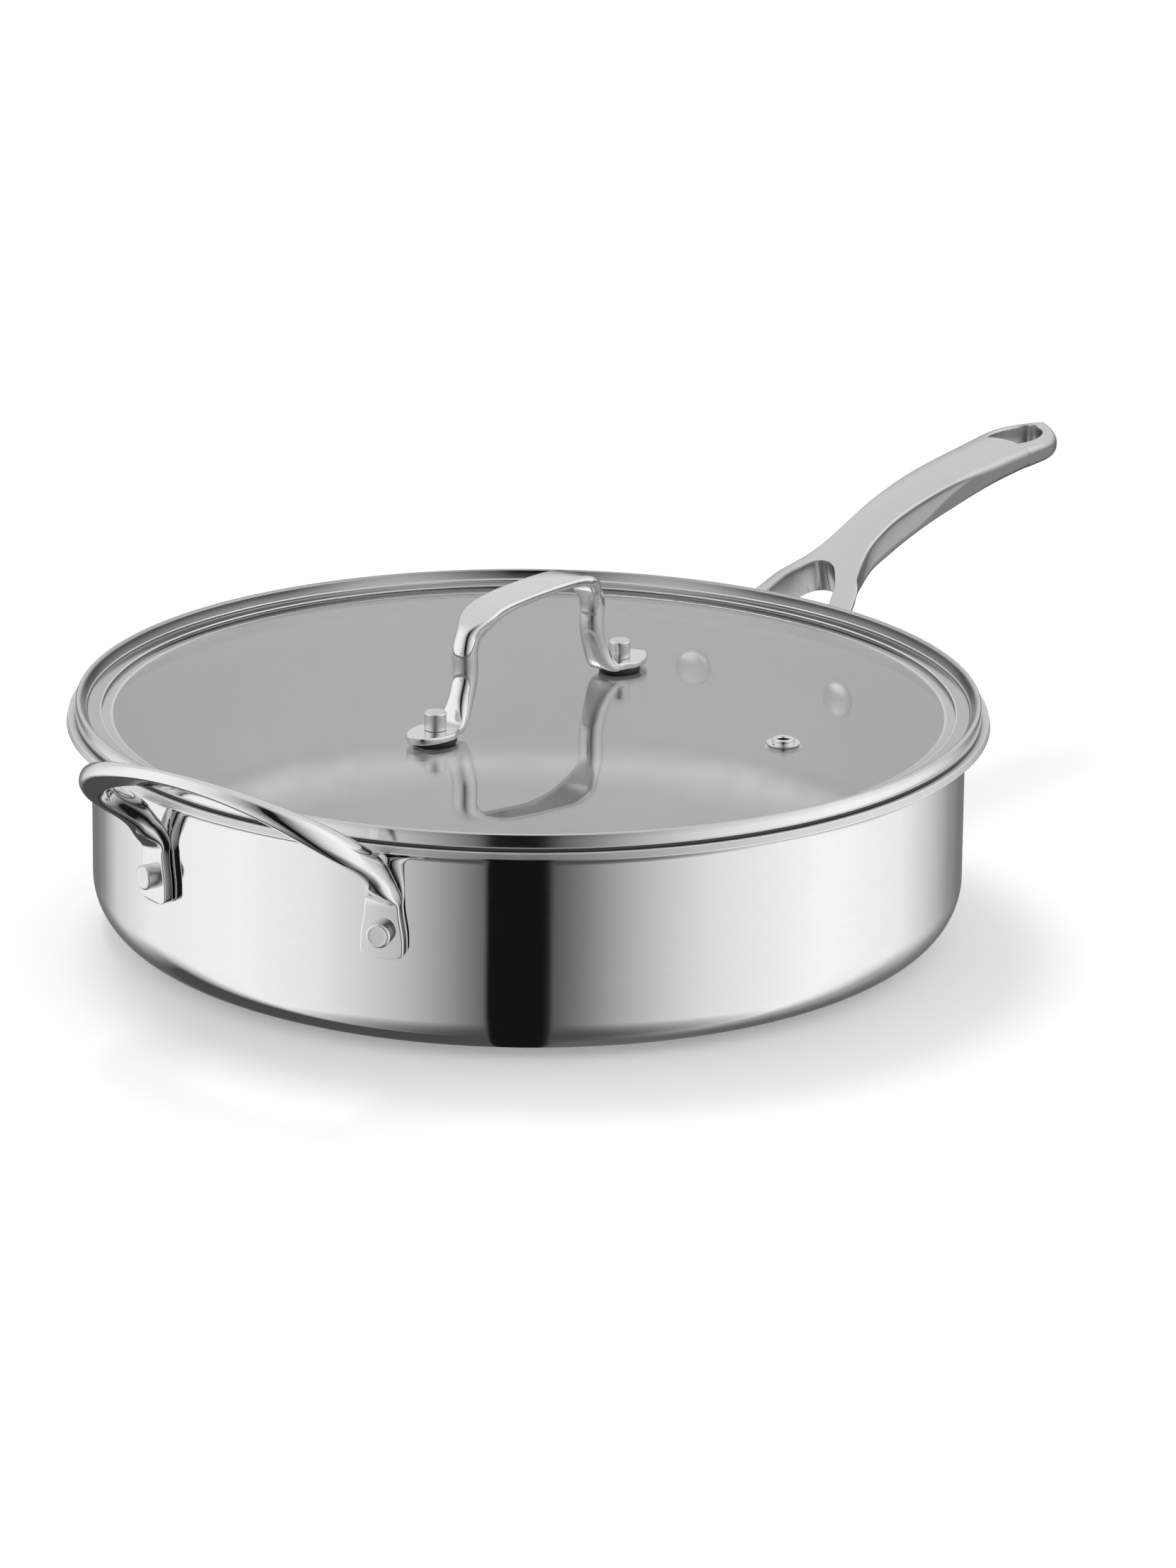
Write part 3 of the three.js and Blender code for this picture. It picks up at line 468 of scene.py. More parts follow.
LEG_RIVET = {"angle": 12.4, "height": 44.5, "end": PAD_FACE + 10.4}
HELPER_RIVET = {"angle": 18.2, "height": 41.4, "end": PAD_FACE + 7.2}
RIVETS = {
    "long_handle_rivet_left": (LEG_RIVET, LEG_RIVET["angle"]),
    "long_handle_rivet_right": (LEG_RIVET, -LEG_RIVET["angle"]),
    "helper_rivet_left": (HELPER_RIVET, 180 - HELPER_RIVET["angle"]),
    "helper_rivet_right": (HELPER_RIVET, 180 + HELPER_RIVET["angle"]),
}
for node, (kind, angle) in RIVETS.items():
    profile, laid = rivet_profile(kind["end"]), along_radius(angle, kind["height"])
    mesh = turned(node + "_turned", profile, SMALL_STEPS, laid)
    place(mesh, node, "pan", rivet_steel)

# %% [markdown]
# ## Bars bent along a path
# The helper handle and the lid's handle are bars that were bent and pressed flat in places. The path is a
# chain of curves, and at each point of it stands a rounded rectangle whose width, thickness and roundness
# change smoothly from one span of the path to the next.

# %% Bent bars


def bezier(points, t):
    """The control points weighted by comb(n, i) t^i (1-t)^(n-i)."""
    points = np.asarray(points, float)
    last = len(points) - 1
    weights = [comb(last, i) * t**i * (1 - t) ** (last - i) for i in range(last + 1)]
    return np.stack(weights, 1) @ points


def smooth(t):
    """Eases from 0 to 1: 3t^2 - 2t^3, level at both ends."""
    t = np.clip(t, 0, 1)
    return t * t * (3 - 2 * t)


def rise(x, span):
    """Eases from 0 to 1 while x goes from the span's first value to its second, which may be lower."""
    return smooth((x - span[0]) / (span[1] - span[0]))


def unit(vectors):
    """Vectors divided by their lengths."""
    return vectors / np.linalg.norm(vectors, axis=-1, keepdims=True)


def bar_path(spans):
    """Chains spans (control points, steps, first section, last section, share of the span that changes)."""
    points, sections = [], []
    for number, (controls, steps, first, last, share) in enumerate(spans):
        t = np.linspace(0, 1, steps, endpoint=number == len(spans) - 1)
        points.append(bezier(controls, t))
        ease = smooth(t / share)[:, None]
        sections.append(np.asarray(first) * (1 - ease) + np.asarray(last) * ease)
    return np.vstack(points), np.vstack(sections)


def bar_rings(points, sections, side, corner_steps=9):
    """At each path point a rounded rectangle: corner centres plus a radius times the cosine and sine."""
    tangent = unit(np.gradient(points, axis=0))
    across = unit(side - np.sum(side * tangent, -1, keepdims=True) * tangent)
    up = np.cross(tangent, across)
    width, depth, roundness = sections.T[:, :, None]
    radius = roundness * np.minimum(width, depth) / 2
    quarter = np.linspace(0, 90, corner_steps)
    angle = np.radians(np.concatenate([quarter + 90 * k for k in range(4)]))
    to_right = np.repeat([1, -1, -1, 1], corner_steps)
    to_top = np.repeat([1, 1, -1, -1], corner_steps)
    u = to_right * (width / 2 - radius) + radius * np.cos(angle)
    v = to_top * (depth / 2 - radius) + radius * np.sin(angle)
    return points[:, None] + u[..., None] * across[:, None] + v[..., None] * up[:, None]


def centre_row(rings, row):
    """One ring shrunk to its own centre, so that a tube's end closes."""
    return np.repeat(rings[row].mean(0)[None, None], rings.shape[1], 1)


def mirrored(values, sign):
    """A half path and its mirror image, sharing the middle point."""
    return np.concatenate([values, values[-2::-1] * sign])


def bar_mesh(name, rings):
    """The rings as a closed tube with closed ends."""
    grid = np.concatenate([centre_row(rings, 0), rings, centre_row(rings, -1)])
    return closed_mesh(name, grid, grid_faces(*grid.shape[:2], False, True))


# %% [markdown]
# ## The helper handle
# A loop of bar opposite the long handle. Its two feet are hammered flat against the wall, its arms are
# round where they pass the lip, and its grip is pressed into a broad flat bow. Half of it is drawn and the
# other half mirrored; the sections face away from one hub, which turns them from the wall into the grip.

# %% Helper handle
HELPER_TURN = np.radians(180 - HELPER_RIVET["angle"])
FOOT_RADIUS = PAD_FACE + 1.7
GRIP = np.array([-182.4, 0, 92.6])
ELBOW = np.array([-156.05, FOOT_RADIUS * np.sin(HELPER_TURN) + 2, 71.7])
LEAN = np.array([-0.85, 0, 0.53])
HELPER_HUB = np.array([-151.6, 0, 76.9])
TOE_HEIGHT, HEEL_HEIGHT, ANKLE_HEIGHT = 32.9, 37.9, 50.0
ARM_RISE, ARM_SWEEP, BOW_SWEEP, GRIP_SWEEP = 9.3, 15.5, 21.8, 27.9
TOE_ROUND, TOE_POWER = 3, 0.34
LEAVES_WALL = (54, 70)


def helper_foot(height):
    """A point of the foot's middle line on the wall, at a height."""
    return np.array([FOOT_RADIUS * np.cos(HELPER_TURN), FOOT_RADIUS * np.sin(HELPER_TURN), height])


def helper_half():
    """Foot, arm and half the bow: spans of a path with their sections of width, depth and roundness."""
    toe, heel, ankle = (helper_foot(height) for height in (TOE_HEIGHT, HEEL_HEIGHT, ANKLE_HEIGHT))
    plate, neck = (14.2, 3.4, 0.35), (11.4, 3.5, 0.4)
    bar, flat = (9.3, 9.3, 1.0), (13.0, 4.2, 0.75)
    arm = [ankle, ankle + [0, 0, ARM_RISE], ELBOW - ARM_SWEEP * LEAN, ELBOW]
    bow = [ELBOW, ELBOW + BOW_SWEEP * LEAN, GRIP + [0, GRIP_SWEEP, 0], GRIP]
    spans = [([toe, heel], 24, plate, plate, 1), ([heel, ankle], 16, plate, neck, 1),
             (arm, 48, neck, bar, 0.45), (bow, 48, bar, flat, 1)]
    points, sections = bar_path(spans)
    drop = np.clip((points[:, 2] - toe[2]) / TOE_ROUND, 0, 1)
    sections[:, 0] *= (1 - (1 - drop) ** 3 * 0.99) ** TOE_POWER
    outward = np.array([np.cos(HELPER_TURN), np.sin(HELPER_TURN), 0])
    on_wall = 1 - rise(points[:, 2], LEAVES_WALL)
    return points + (on_wall * (sections[:, 1] - plate[1]) / 3)[:, None] * outward, sections


half_points, half_sections = helper_half()
helper_points = mirrored(half_points, [1, -1, 1])
helper_sections = mirrored(half_sections, 1)
helper_rings = bar_rings(helper_points, helper_sections, helper_points - HELPER_HUB)
place(bar_mesh("helper_handle_bent", helper_rings), "helper_handle", "pan", bent_steel)

# %% [markdown]
# ## The long handle
# The hardest piece: a casting whose root splits into two legs, each ending in a riveted foot on the wall,
# and whose shaft has a crowned top, scooped flanks and a D-shaped hole near the tip. Joining three bars
# would leave seams, so one half of it is a single sweep. Its inner edge stands off the middle plane where
# the fork or the hole is open and lies on the plane elsewhere; the mirror image closes it.

# %% Long handle path
LEG_TURN = LEG_RIVET["angle"]
# Columns: x, inner edge, outer edge, height of the middle, thickness, turn towards the wall in degrees.
HANDLE_STATIONS = np.array([
    [141, 28.8, 36, 33.4, 5.2, LEG_TURN],
    [141.2, 25.8, 38.6, 36, 5.4, LEG_TURN],
    [141.5, 24.2, 39, 39.5, 5.4, LEG_TURN],
    [141.7, 23.6, 38.4, 44.5, 5.4, LEG_TURN],
    [142.5, 22.6, 36, 49.5, 5.6, 11],
    [145.2, 19.8, 31, 54.6, 6.2, 6],
    [149.8, 17, 26.2, 59.8, 7, -6],
    [153.6, 14, 22.4, 64.4, 7.6, -16],
    [157.4, 12, 20.2, 67.6, 8.2, -23],
    [162, 10.3, 18.5, 70, 8.6, -25],
    [167, 8.4, 16.6, 72.5, 9, -25],
    [171.6, 6.6, 14.2, 74.5, 9.3, -25],
    [177, 5.4, 12, 76.3, 9.6, 0],
    [183, 3, 10.1, 78.8, 9.8, 0],
    [189.5, 0, 8.8, 81.5, 10.2, 0],
    [200.3, 0, 8.3, 85.1, 10.8, 0],
    [208.7, 0, 8.6, 87.5, 10.7, 0],
    [220.6, 0, 9.2, 90.2, 10.1, 0],
    [234.1, 0, 9.9, 92.5, 9.4, 0],
    [249.4, 0, 10.6, 94.4, 8.7, 0],
    [266.9, 0, 11.3, 95.9, 8, 0],
    [286, 0, 12.2, 97, 7.3, 0],
    [308.9, 0, 12.5, 97.4, 6.8, 0],
])


def through(rows, t):
    """A curve through every row: each stretch mixes four neighbouring rows by cubic weights of t."""
    ends = np.vstack([2 * rows[0] - rows[1], rows, 2 * rows[-1] - rows[-2]])
    cell = np.clip(t.astype(int), 0, len(rows) - 2)
    s = (t - cell)[:, None]
    a, b, c, d = (ends[cell + k] for k in range(4))
    return 0.5 * (2 * b + (c - a) * s + (2 * a - 5 * b + 4 * c - d) * s**2 + (3 * b - a - 3 * c + d) * s**3)


FORK_START, FORK_END, FORK_SQUARENESS = 165.5, 173.4, 2.6
HOLE_START, HOLE_WIDEST, HOLE_END, HOLE_HALF_WIDTH = 281.6, 290.0, 303.5, 8.1
TIP_START, TIP_END, TIP_SQUARENESS = 290.5, 308.9, 2.25
LEG_BLEND = (150, 158)


def handle_places():
    """Even steps along the stations, with closer ones where the fork, the hole and the tip turn round."""
    even = np.linspace(0, len(HANDLE_STATIONS) - 1, 300)
    x = through(HANDLE_STATIONS, even)[:, 0]
    closer = np.sin(np.linspace(0, np.pi / 2, 24))
    wanted = [FORK_START + (FORK_END - FORK_START) * closer, TIP_START + (TIP_END - TIP_START) * closer,
              HOLE_START + 0.02 + (HOLE_END - HOLE_START - 0.02) * closer, [HOLE_START - 0.02]]
    start = np.argmax(x > LEG_BLEND[0])
    return np.unique(np.concatenate([even, np.interp(np.concatenate(wanted), x[start:], even[start:])]))


# %% [markdown]
# ## The long handle's section
# At each place along the handle the section is a rounded rectangle between the inner and the outer edge.
# Its top is then lifted into a crown and its flank drawn in, each by a smooth hump, and both fade out
# towards the legs, which are plain rounded bars.

# %% Long handle section
SHAFT_SOFTENS = (232, 266)
# Spans and strengths of the handle's painted light: painted shade on the sides, less on the fork's inner
# walls, and a painted highlight on a lens-shaped facet of each flank.
FACET_LOWER, FACET_UPPER, FACET_SOFT = (215, 257), (177, 191), 0.15
OUTER_SIDE, CROTCH_FROM, CROTCH_TO = (0.4, 0.8), (168, 172), (180, 176)
SIDE_SHADE, OUTSIDE_SHADE, FACET_LIGHT, CROTCH_LIGHT = 0.38, 0.36, 0.22, 0.6
STRAIGHTENS = (165, 173)
CROWN_FROM, CROWN_FALLS = (150, 162), (172, 192)
SCOOP_FROM, SCOOP_TO, DRAFT_TO = (178, 198), (262, 222), (204, 170)


def handle_edges(stations):
    """Inner and outer edge: the fork ends as a squarish half ellipse, the hole as a D, the tip round."""
    x, inner, outer = stations[:, 0], stations[:, 1], stations[:, 2]
    into_fork = np.clip((x - FORK_START) / (FORK_END - FORK_START), 0, 1)
    fork = (1 - into_fork**FORK_SQUARENESS) ** (1 / FORK_SQUARENESS)
    before = (HOLE_WIDEST - x) / (HOLE_WIDEST - HOLE_START)
    after = np.clip((x - HOLE_WIDEST) / (HOLE_END - HOLE_WIDEST), 0, 1)
    share = np.where(x < HOLE_WIDEST, 1 - 0.18 * before**2, np.sqrt(1 - after**2))
    hole = np.where((x > HOLE_START) & (x < HOLE_END), HOLE_HALF_WIDTH * share, 0)
    into_tip = np.clip((x - TIP_START) / (TIP_END - TIP_START), 0, 1)
    return inner * fork + hole, outer * (1 - into_tip**TIP_SQUARENESS) ** (1 / TIP_SQUARENESS)


def between(first, last, steps):
    """Points inside a straight side, without its ends."""
    t = np.linspace(0, 1, steps + 2)[1:-1]
    return first[..., :1] * (1 - t) + last[..., -1:] * t


def rounded_outline(width, depth, outer_round, inner_round, steps=6):
    """Four corner arcs with straight sides between them; the first coordinate starts at the inner edge."""
    quarter = np.radians(np.linspace(0, 90, steps))
    corners = [(width - outer_round, depth / 2 - outer_round, outer_round, 0),
               (inner_round, depth / 2 - inner_round, inner_round, 1),
               (inner_round, inner_round - depth / 2, inner_round, 2),
               (width - outer_round, outer_round - depth / 2, outer_round, 3)]
    arcs = [(cu + r * np.cos(quarter + q * np.pi / 2), cv + r * np.sin(quarter + q * np.pi / 2))
            for cu, cv, r, q in corners]
    u, v = [], []
    for number, side_steps in enumerate((12, 6, 8, 24)):
        here, following = arcs[number], arcs[(number + 1) % 4]
        u += [here[0], between(here[0][:, -1:], following[0][:, :1], side_steps)]
        v += [here[1], between(here[1][:, -1:], following[1][:, :1], side_steps)]
    return np.hstack(u), np.hstack(v)


def handle_painted_light(x, level, share, from_inside):
    """Painted light: the top stays pale, the sides get painted shade, less on the inner walls, and a painted
    highlight on a lens-shaped facet of each flank.
    """
    towards_tip = rise(x, SHAFT_SOFTENS)
    side = smooth((0.97 - 0.1 * towards_tip - level) / (0.1 + 0.45 * towards_tip)) * rise(x, LEG_BLEND)
    lower = -0.75 + 1.5 * rise(x, FACET_LOWER)
    upper = -0.5 + 1.2 * rise(x, FACET_UPPER)
    facet = smooth((level - lower) / FACET_SOFT) * smooth((upper - level) / FACET_SOFT) * (share > 0.8)
    outside = rise(from_inside, OUTER_SIDE)
    crotch = (1 - outside) * rise(x, CROTCH_FROM) * rise(x, CROTCH_TO)
    shade = SIDE_SHADE + OUTSIDE_SHADE * outside - FACET_LIGHT * facet
    return 1 - side * shade * (1 - CROTCH_LIGHT * crotch)


def handle_half():
    """Half the handle as rings of points, with crown, scoop and draft, and the painted light and shade at
    each point.
    """
    stations = through(HANDLE_STATIONS, handle_places())
    inner, outer = handle_edges(stations)
    x, _, _, height, depth, turn = stations.T
    turn = np.radians(turn * (1 - rise(x, STRAIGHTENS)))
    width = np.maximum(outer - inner, 0)[:, None]
    outer_round = np.minimum(1.0 + 1.7 * rise(x[:, None], SHAFT_SOFTENS), 0.45 * width)
    inner_round = np.minimum(0.8, np.minimum(0.8 * inner[:, None], 0.45 * width))
    u, v = rounded_outline(width, depth[:, None], outer_round, inner_round)
    along, level = x[:, None], 2 * v / depth[:, None]
    share = np.clip((inner[:, None] + u) / np.maximum(outer, 0.01)[:, None], 0, 1)
    crown = (3.0 - 1.2 * rise(along, CROWN_FALLS)) * rise(along, CROWN_FROM)
    lifted = v + crown * (1 - share**2) * np.clip(level, 0, 1)
    scoop = 1.2 * rise(along, SCOOP_FROM) * rise(along, SCOOP_TO)
    draft = 2.4 * rise(along, LEG_BLEND) * rise(along, DRAFT_TO)
    drawn_in = scoop * (1 - level**2) * smooth(2.5 * share - 1.5)
    from_inside = u / np.maximum(width, 0.01)
    drawn_in = drawn_in + draft * from_inside * (1 - level) / 2
    tangent = unit(np.stack([np.gradient(x), 0 * x, np.gradient(height)], 1))
    across = np.stack([-np.sin(turn), np.cos(turn), 0 * x], 1)
    up = unit(np.cross(tangent, across))
    middle = np.stack([x, (inner + outer) / 2, height], 1)
    side = u - drawn_in - width / 2
    rings = middle[:, None] + side[..., None] * across[:, None] + lifted[..., None] * up[:, None]
    return rings, handle_painted_light(along, level, share, from_inside)


def handle_mesh(name):
    """The half, its toe closed, without its faces on the middle plane, and its mirror image."""
    rings, painted_light = handle_half()
    grid, painted_light = np.concatenate([centre_row(rings, 0), rings]), np.concatenate([painted_light[:1], painted_light])
    points = grid.reshape(-1, 3)
    faces = grid_faces(*grid.shape[:2], False, True)
    faces = faces[(np.abs(points[faces, 1]) > 1e-4).any(1)]
    both_faces = np.vstack([faces, faces[:, ::-1] + len(points)])
    return closed_mesh(name, np.vstack([points, points * [1, -1, 1]]), both_faces, np.vstack([painted_light, painted_light]))


place(handle_mesh("long_handle_cast"), "long_handle", "pan", cast_steel_painted_light)

# %% [markdown]
# ## The lid's ring
# A rolled band that holds the glass: its skirt drops inside the pan, its seat lies on the flared lip, its
# upright bead is rolled over at the top, and a ledge covers the edge of the glass. All of that is one
# closed profile turned round the axis. Its table also paints light and shade on each corner: painted shade
# in the narrow grooves that light hardly reaches and a painted shadow line at the band's foot, painted
# highlights on the edges that catch it.

# %% Lid ring
BAND_RADIUS, BAND_INNER = 147.0, 145.1
BAND_BOTTOM, BAND_TOP = 70.97, 76.37
LEDGE_TOP, LEDGE_UNDER = 72.67, 72.07
COVER_RADIUS, CHANNEL_RADIUS = 138.6, 140.8
FLANGE_TOP, FLANGE_UNDER, FLANGE_RADIUS = 68.67, 67.97, 134.8
SKIRT_RADIUS, SKIRT_INNER, SKIRT_BOTTOM = 139.2, 138.4, 62.57

# Columns: radius, height, easing of the corner, painted light (below 1 painted shade, above 1 painted
# highlight). The rows run from the band's foot over the bead and the ledge, round the channel and the
# flange, to the skirt.
RING_CORNERS = np.array([
    [BAND_RADIUS, BAND_BOTTOM, 0.2, 0.12],
    [BAND_RADIUS + 0.03, BAND_BOTTOM + 0.7, 0.2, 0.12],
    [BAND_RADIUS + 0.05, BAND_BOTTOM + 1.1, 0.2, 1],
    [BAND_RADIUS + 0.12, (BAND_BOTTOM + BAND_TOP) / 2, 1.5, 1],
    [BAND_RADIUS - 0.1, BAND_TOP, 0.85, 0.85],
    [BAND_INNER + 0.2, BAND_TOP, 0.8, 0.6],
    [BAND_INNER - 0.1, BAND_TOP - 0.9, 0.2, 0.1],
    [BAND_INNER - 1.1, LEDGE_TOP + 0.8, 0.3, 0.3],
    [BAND_INNER - 1.6, LEDGE_TOP + 0.6, 0.2, 0.9],
    [BAND_INNER - 1.7, LEDGE_TOP, 0.2, 0.15],
    [BAND_INNER - 2.3, LEDGE_TOP, 0.1, 0.66],
    [COVER_RADIUS + 0.8, LEDGE_TOP, 0.1, 0.66],
    [COVER_RADIUS, LEDGE_TOP, 0.3, 1],
    [COVER_RADIUS, LEDGE_UNDER, 0.3, 0.8],
    [CHANNEL_RADIUS, LEDGE_UNDER, 0.1, 0.9],
    [CHANNEL_RADIUS, FLANGE_TOP, 0.2, 0.7],
    [FLANGE_RADIUS + 1.3, FLANGE_TOP, 0.1, 0.6],
    [FLANGE_RADIUS, FLANGE_TOP, 0.2, 1.3],
    [FLANGE_RADIUS, FLANGE_UNDER, 0.2, 1.3],
    [SKIRT_INNER, FLANGE_UNDER, 0.2, 0.6],
    [SKIRT_INNER, SKIRT_BOTTOM, 0.3, 0.6],
    [SKIRT_RADIUS, SKIRT_BOTTOM, 0.3, 0.6],
])
SEAT_STEPS, CORNER_STEPS = 16, 6
# The seat's painted shade, and the part of the ring round which the deepest painted shade weakens.
SEAT_RADIUS, SEAT_PAINTED_SHADE = 7.8, 0.5
LIGHT_PART, LIGHT_SPREAD = np.radians(36.2), (0.2, 0.65)
DEEP_SHADE_LIMIT, WEAKEST, BEAD_ROW = 0.4, 0.3, 5


def ring_profile():
    """The seat's arc over the lip, then every corner of the table eased by its own radius."""
    seat = arc(FLARE_CENTRE, SEAT_RADIUS, 180, FLARE_END, SEAT_STEPS)
    eased = soften(RING_CORNERS[:, :2], RING_CORNERS[:, 2], CORNER_STEPS)
    return np.vstack([seat, eased.reshape(-1, 2)])


def ring_painted_light():
    """The corners' painted light; the deepest painted shade, in the bead's inner side, is weaker round one
    part of the ring.
    """
    corners = np.repeat(RING_CORNERS[:, 3], CORNER_STEPS)
    painted_light = np.concatenate([np.full(SEAT_STEPS, SEAT_PAINTED_SHADE), corners])[None]
    angle = np.linspace(0, 2 * np.pi, ROUND_STEPS, endpoint=False)[:, None] - LIGHT_PART
    away = np.abs(np.arctan2(np.sin(angle), np.cos(angle)))
    strength = WEAKEST + (1 - WEAKEST) * rise(away, LIGHT_SPREAD)
    inner_side = np.arange(painted_light.shape[1]) > SEAT_STEPS + BEAD_ROW * CORNER_STEPS
    return np.where((painted_light < DEEP_SHADE_LIMIT) & inner_side, 1 - (1 - painted_light) * strength, painted_light + 0 * angle)


ring = turned("lid_ring_rolled", ring_profile(), ROUND_STEPS, None, ring_painted_light())
place(ring, "lid_ring", "lid", rolled_steel_painted_light)

# %% [markdown]
# ## The lid's glass
# A tempered disc, flat in the middle and bent a little down at its edge, with drilled holes for the two
# studs and the steam vent. The disc is turned; the holes are cut by a Boolean, since a drilled hole is
# exactly what that tool makes.

# %% Lid glass
GLASS_RADIUS, GLASS_FLAT = 140.5, 104.0
GLASS_TOP, GLASS_UNDER = 72.87, 69.67
STUD_X = 50.5
VENT_X, VENT_Y = 15.0, -90.0
STUD_HOLE, VENT_HOLE = 2.9, 3.3
GLASS_DROP, GLASS_EASE = 0.9, 0.8
DRILL_FROM, DRILL_TO = 60, 80


def glass_line(level):
    """A level line to the flat's edge, then falling with the square of the distance past it."""
    radius = np.concatenate([[0, 35, 70], np.linspace(GLASS_FLAT, GLASS_RADIUS, 24)])
    past = np.maximum(radius - GLASS_FLAT, 0) / (GLASS_RADIUS - GLASS_FLAT)
    return np.column_stack([radius, level - GLASS_DROP * past**2])


def drilled(mesh, holes):
    """Cuts an upright round hole at each (x, y, radius), through a Boolean that is applied at once."""
    blank = add_object("glass_blank", mesh)
    cutters = []
    for x, y, radius in holes:
        outline = [[0, DRILL_FROM], [radius, DRILL_FROM], [radius, DRILL_TO], [0, DRILL_TO]]
        cutter = add_object("drill", turned("drill", outline, SMALL_STEPS, shifted(x, y)))
        cut = blank.modifiers.new("hole", "BOOLEAN")
        cut.object, cut.operation = cutter, "DIFFERENCE"
        cutters.append(cutter)
    made = bpy.data.meshes.new_from_object(blank.evaluated_get(bpy.context.evaluated_depsgraph_get()))
    for used in [blank, *cutters]:
        bpy.data.objects.remove(used)
    made.name = mesh.name + "_drilled"
    made.set_sharp_from_angle(angle=SHARP_ANGLE)
    return made


glass_top, glass_under = glass_line(GLASS_TOP), glass_line(GLASS_UNDER)[::-1]
edge_corners = np.vstack([glass_top[-2:], glass_under[:2]])
glass_edge = soften(edge_corners, np.array([0, GLASS_EASE, GLASS_EASE, 0]))[1:3].reshape(-1, 2)
disc = turned("lid_glass", np.vstack([glass_top[:-1], glass_edge, glass_under[1:]]), ROUND_STEPS)
glass = drilled(disc, [(-STUD_X, 0, STUD_HOLE), (STUD_X, 0, STUD_HOLE), (VENT_X, VENT_Y, VENT_HOLE)])
place(glass, "lid_glass", "lid", lid_glass)

# %% [markdown]
# ## The lid's handle
# A rod bent up from two leaf-shaped feet, with S-curved legs, and hammered into a broad thin strap across
# the top. It is drawn from one toe to the middle and mirrored, like the helper handle.

# %% Lid handle
FOOT_UNDER = 74.47
FOOT_DEPTH = 2.3
FOOT_MIDDLE = FOOT_UNDER + FOOT_DEPTH / 2
LID_RISE = 35.95
LID_LEG = 34.5
TOE_LENGTH, TOE_START = 12, 0.0005


def lid_point(x, z):
    """A point of the handle's middle plane, from the lid's centre and the foot's middle."""
    return [-x, 0, FOOT_MIDDLE + z]


def lid_handle_half():
    """Leaf foot, foot bend, leg, shoulder bend and half the strap."""
    leaf, ankle, rod = (15.2, FOOT_DEPTH, 0.6), (10.6, FOOT_DEPTH + 0.4, 0.6), (7.9, 7.9, 0.9)
    fold, strap = (12.8, 3.7, 0.6), (13.8, 3.0, 0.6)
    toe, stud, heel = (lid_point(STUD_X + reach, 0) for reach in (TOE_LENGTH, 0, -6.5))
    shin, knee = lid_point(LID_LEG + 0.9, 12), lid_point(LID_LEG + 0.3, 21)
    bend, shoulder = lid_point(LID_LEG - 0.9, 27.2), lid_point(LID_LEG - 9.3, 33.9)
    spans = [
        ([toe, stud], 40, leaf, leaf, 1), ([stud, heel], 20, leaf, ankle, 1),
        ([heel, lid_point(40.6, 0), lid_point(38.0, 4.2), shin], 32, ankle, rod, 0.9),
        ([shin, lid_point(34.5, 14.7), lid_point(34.5, 18), knee], 24, rod, rod, 1),
        ([knee, lid_point(35.0, 23.4), lid_point(34.6, 25.2), bend], 16, rod, rod, 1),
        ([bend, lid_point(32.2, 30.0), lid_point(29.8, 32.4), shoulder], 32, rod, fold, 1),
        ([shoulder, lid_point(19.0, 35.9), lid_point(9, LID_RISE), lid_point(0, LID_RISE)], 40,
         fold, strap, 0.6),
    ]
    points, sections = bar_path(spans)
    along_toe = np.clip((points[:, 0] - toe[0]) / TOE_LENGTH, TOE_START, 1)
    sections[:, 0] *= np.sqrt(1 - (1 - along_toe) ** 2)
    return points, sections


half_points, half_sections = lid_handle_half()
lid_points = mirrored(half_points, [-1, 1, 1])
lid_rings = bar_rings(lid_points, mirrored(half_sections, 1), np.array([0.0, 1.0, 0.0]))
place(bar_mesh("lid_handle_bent", lid_rings), "lid_handle", "lid", bent_steel)

# %% [markdown]
# ## Studs, gaskets and washers
# Each foot of the lid's handle stands on a silicone ring and is held by a stud whose stub rises above it;
# a washer spreads the load under the glass. They are small turned pieces, stacked on one axis.

# %% Lid stacks
STUD_RADIUS, SHANK_RADIUS = 3.6, 2.6
STUD_SHOULDER = 76.87
STUD_TOP = STUD_SHOULDER + 6
WASHER_UNDER, WASHER_TOP = 68.37, 69.57
HEAD_TOP, HEAD_BOTTOM, STUD_HEAD, HEAD_CHAMFER = 68.27, 66.27, 5, 1
STUD_CHAMFER, STUD_RIM, STUD_DISH = 0.5, 1.2, 0.06
GASKET_RADIUS, WASHER_RADIUS = 7, 7.5
GASKET_TOP = FOOT_UNDER - 0.1



def flat_ring(inner, outer, under, top, ease):
    """A washer's profile: a rectangle with eased corners."""
    return soften([[inner, under], [outer, under], [outer, top], [inner, top]], ease)


stud_profile = soften(
    [[0, HEAD_BOTTOM], [STUD_HEAD - HEAD_CHAMFER, HEAD_BOTTOM], [STUD_HEAD, HEAD_BOTTOM + HEAD_CHAMFER],
     [STUD_HEAD, HEAD_TOP], [SHANK_RADIUS, HEAD_TOP], [SHANK_RADIUS, STUD_SHOULDER],
     [STUD_RADIUS, STUD_SHOULDER], [STUD_RADIUS, STUD_TOP - STUD_CHAMFER],
     [STUD_RADIUS - STUD_CHAMFER, STUD_TOP], [STUD_RADIUS - STUD_RIM, STUD_TOP - STUD_DISH],
     [0, STUD_TOP - STUD_DISH]],
    np.array([0, 0.4, 0.4, 0.2, 0.1, 0.1, 0.15, 0.3, 0.3, 0.3, 0]))
gasket_profile = flat_ring(STUD_HOLE, GASKET_RADIUS, GLASS_TOP, GASKET_TOP, 0.4)
washer_profile = flat_ring(STUD_HOLE, WASHER_RADIUS, WASHER_UNDER, WASHER_TOP, 0.25)
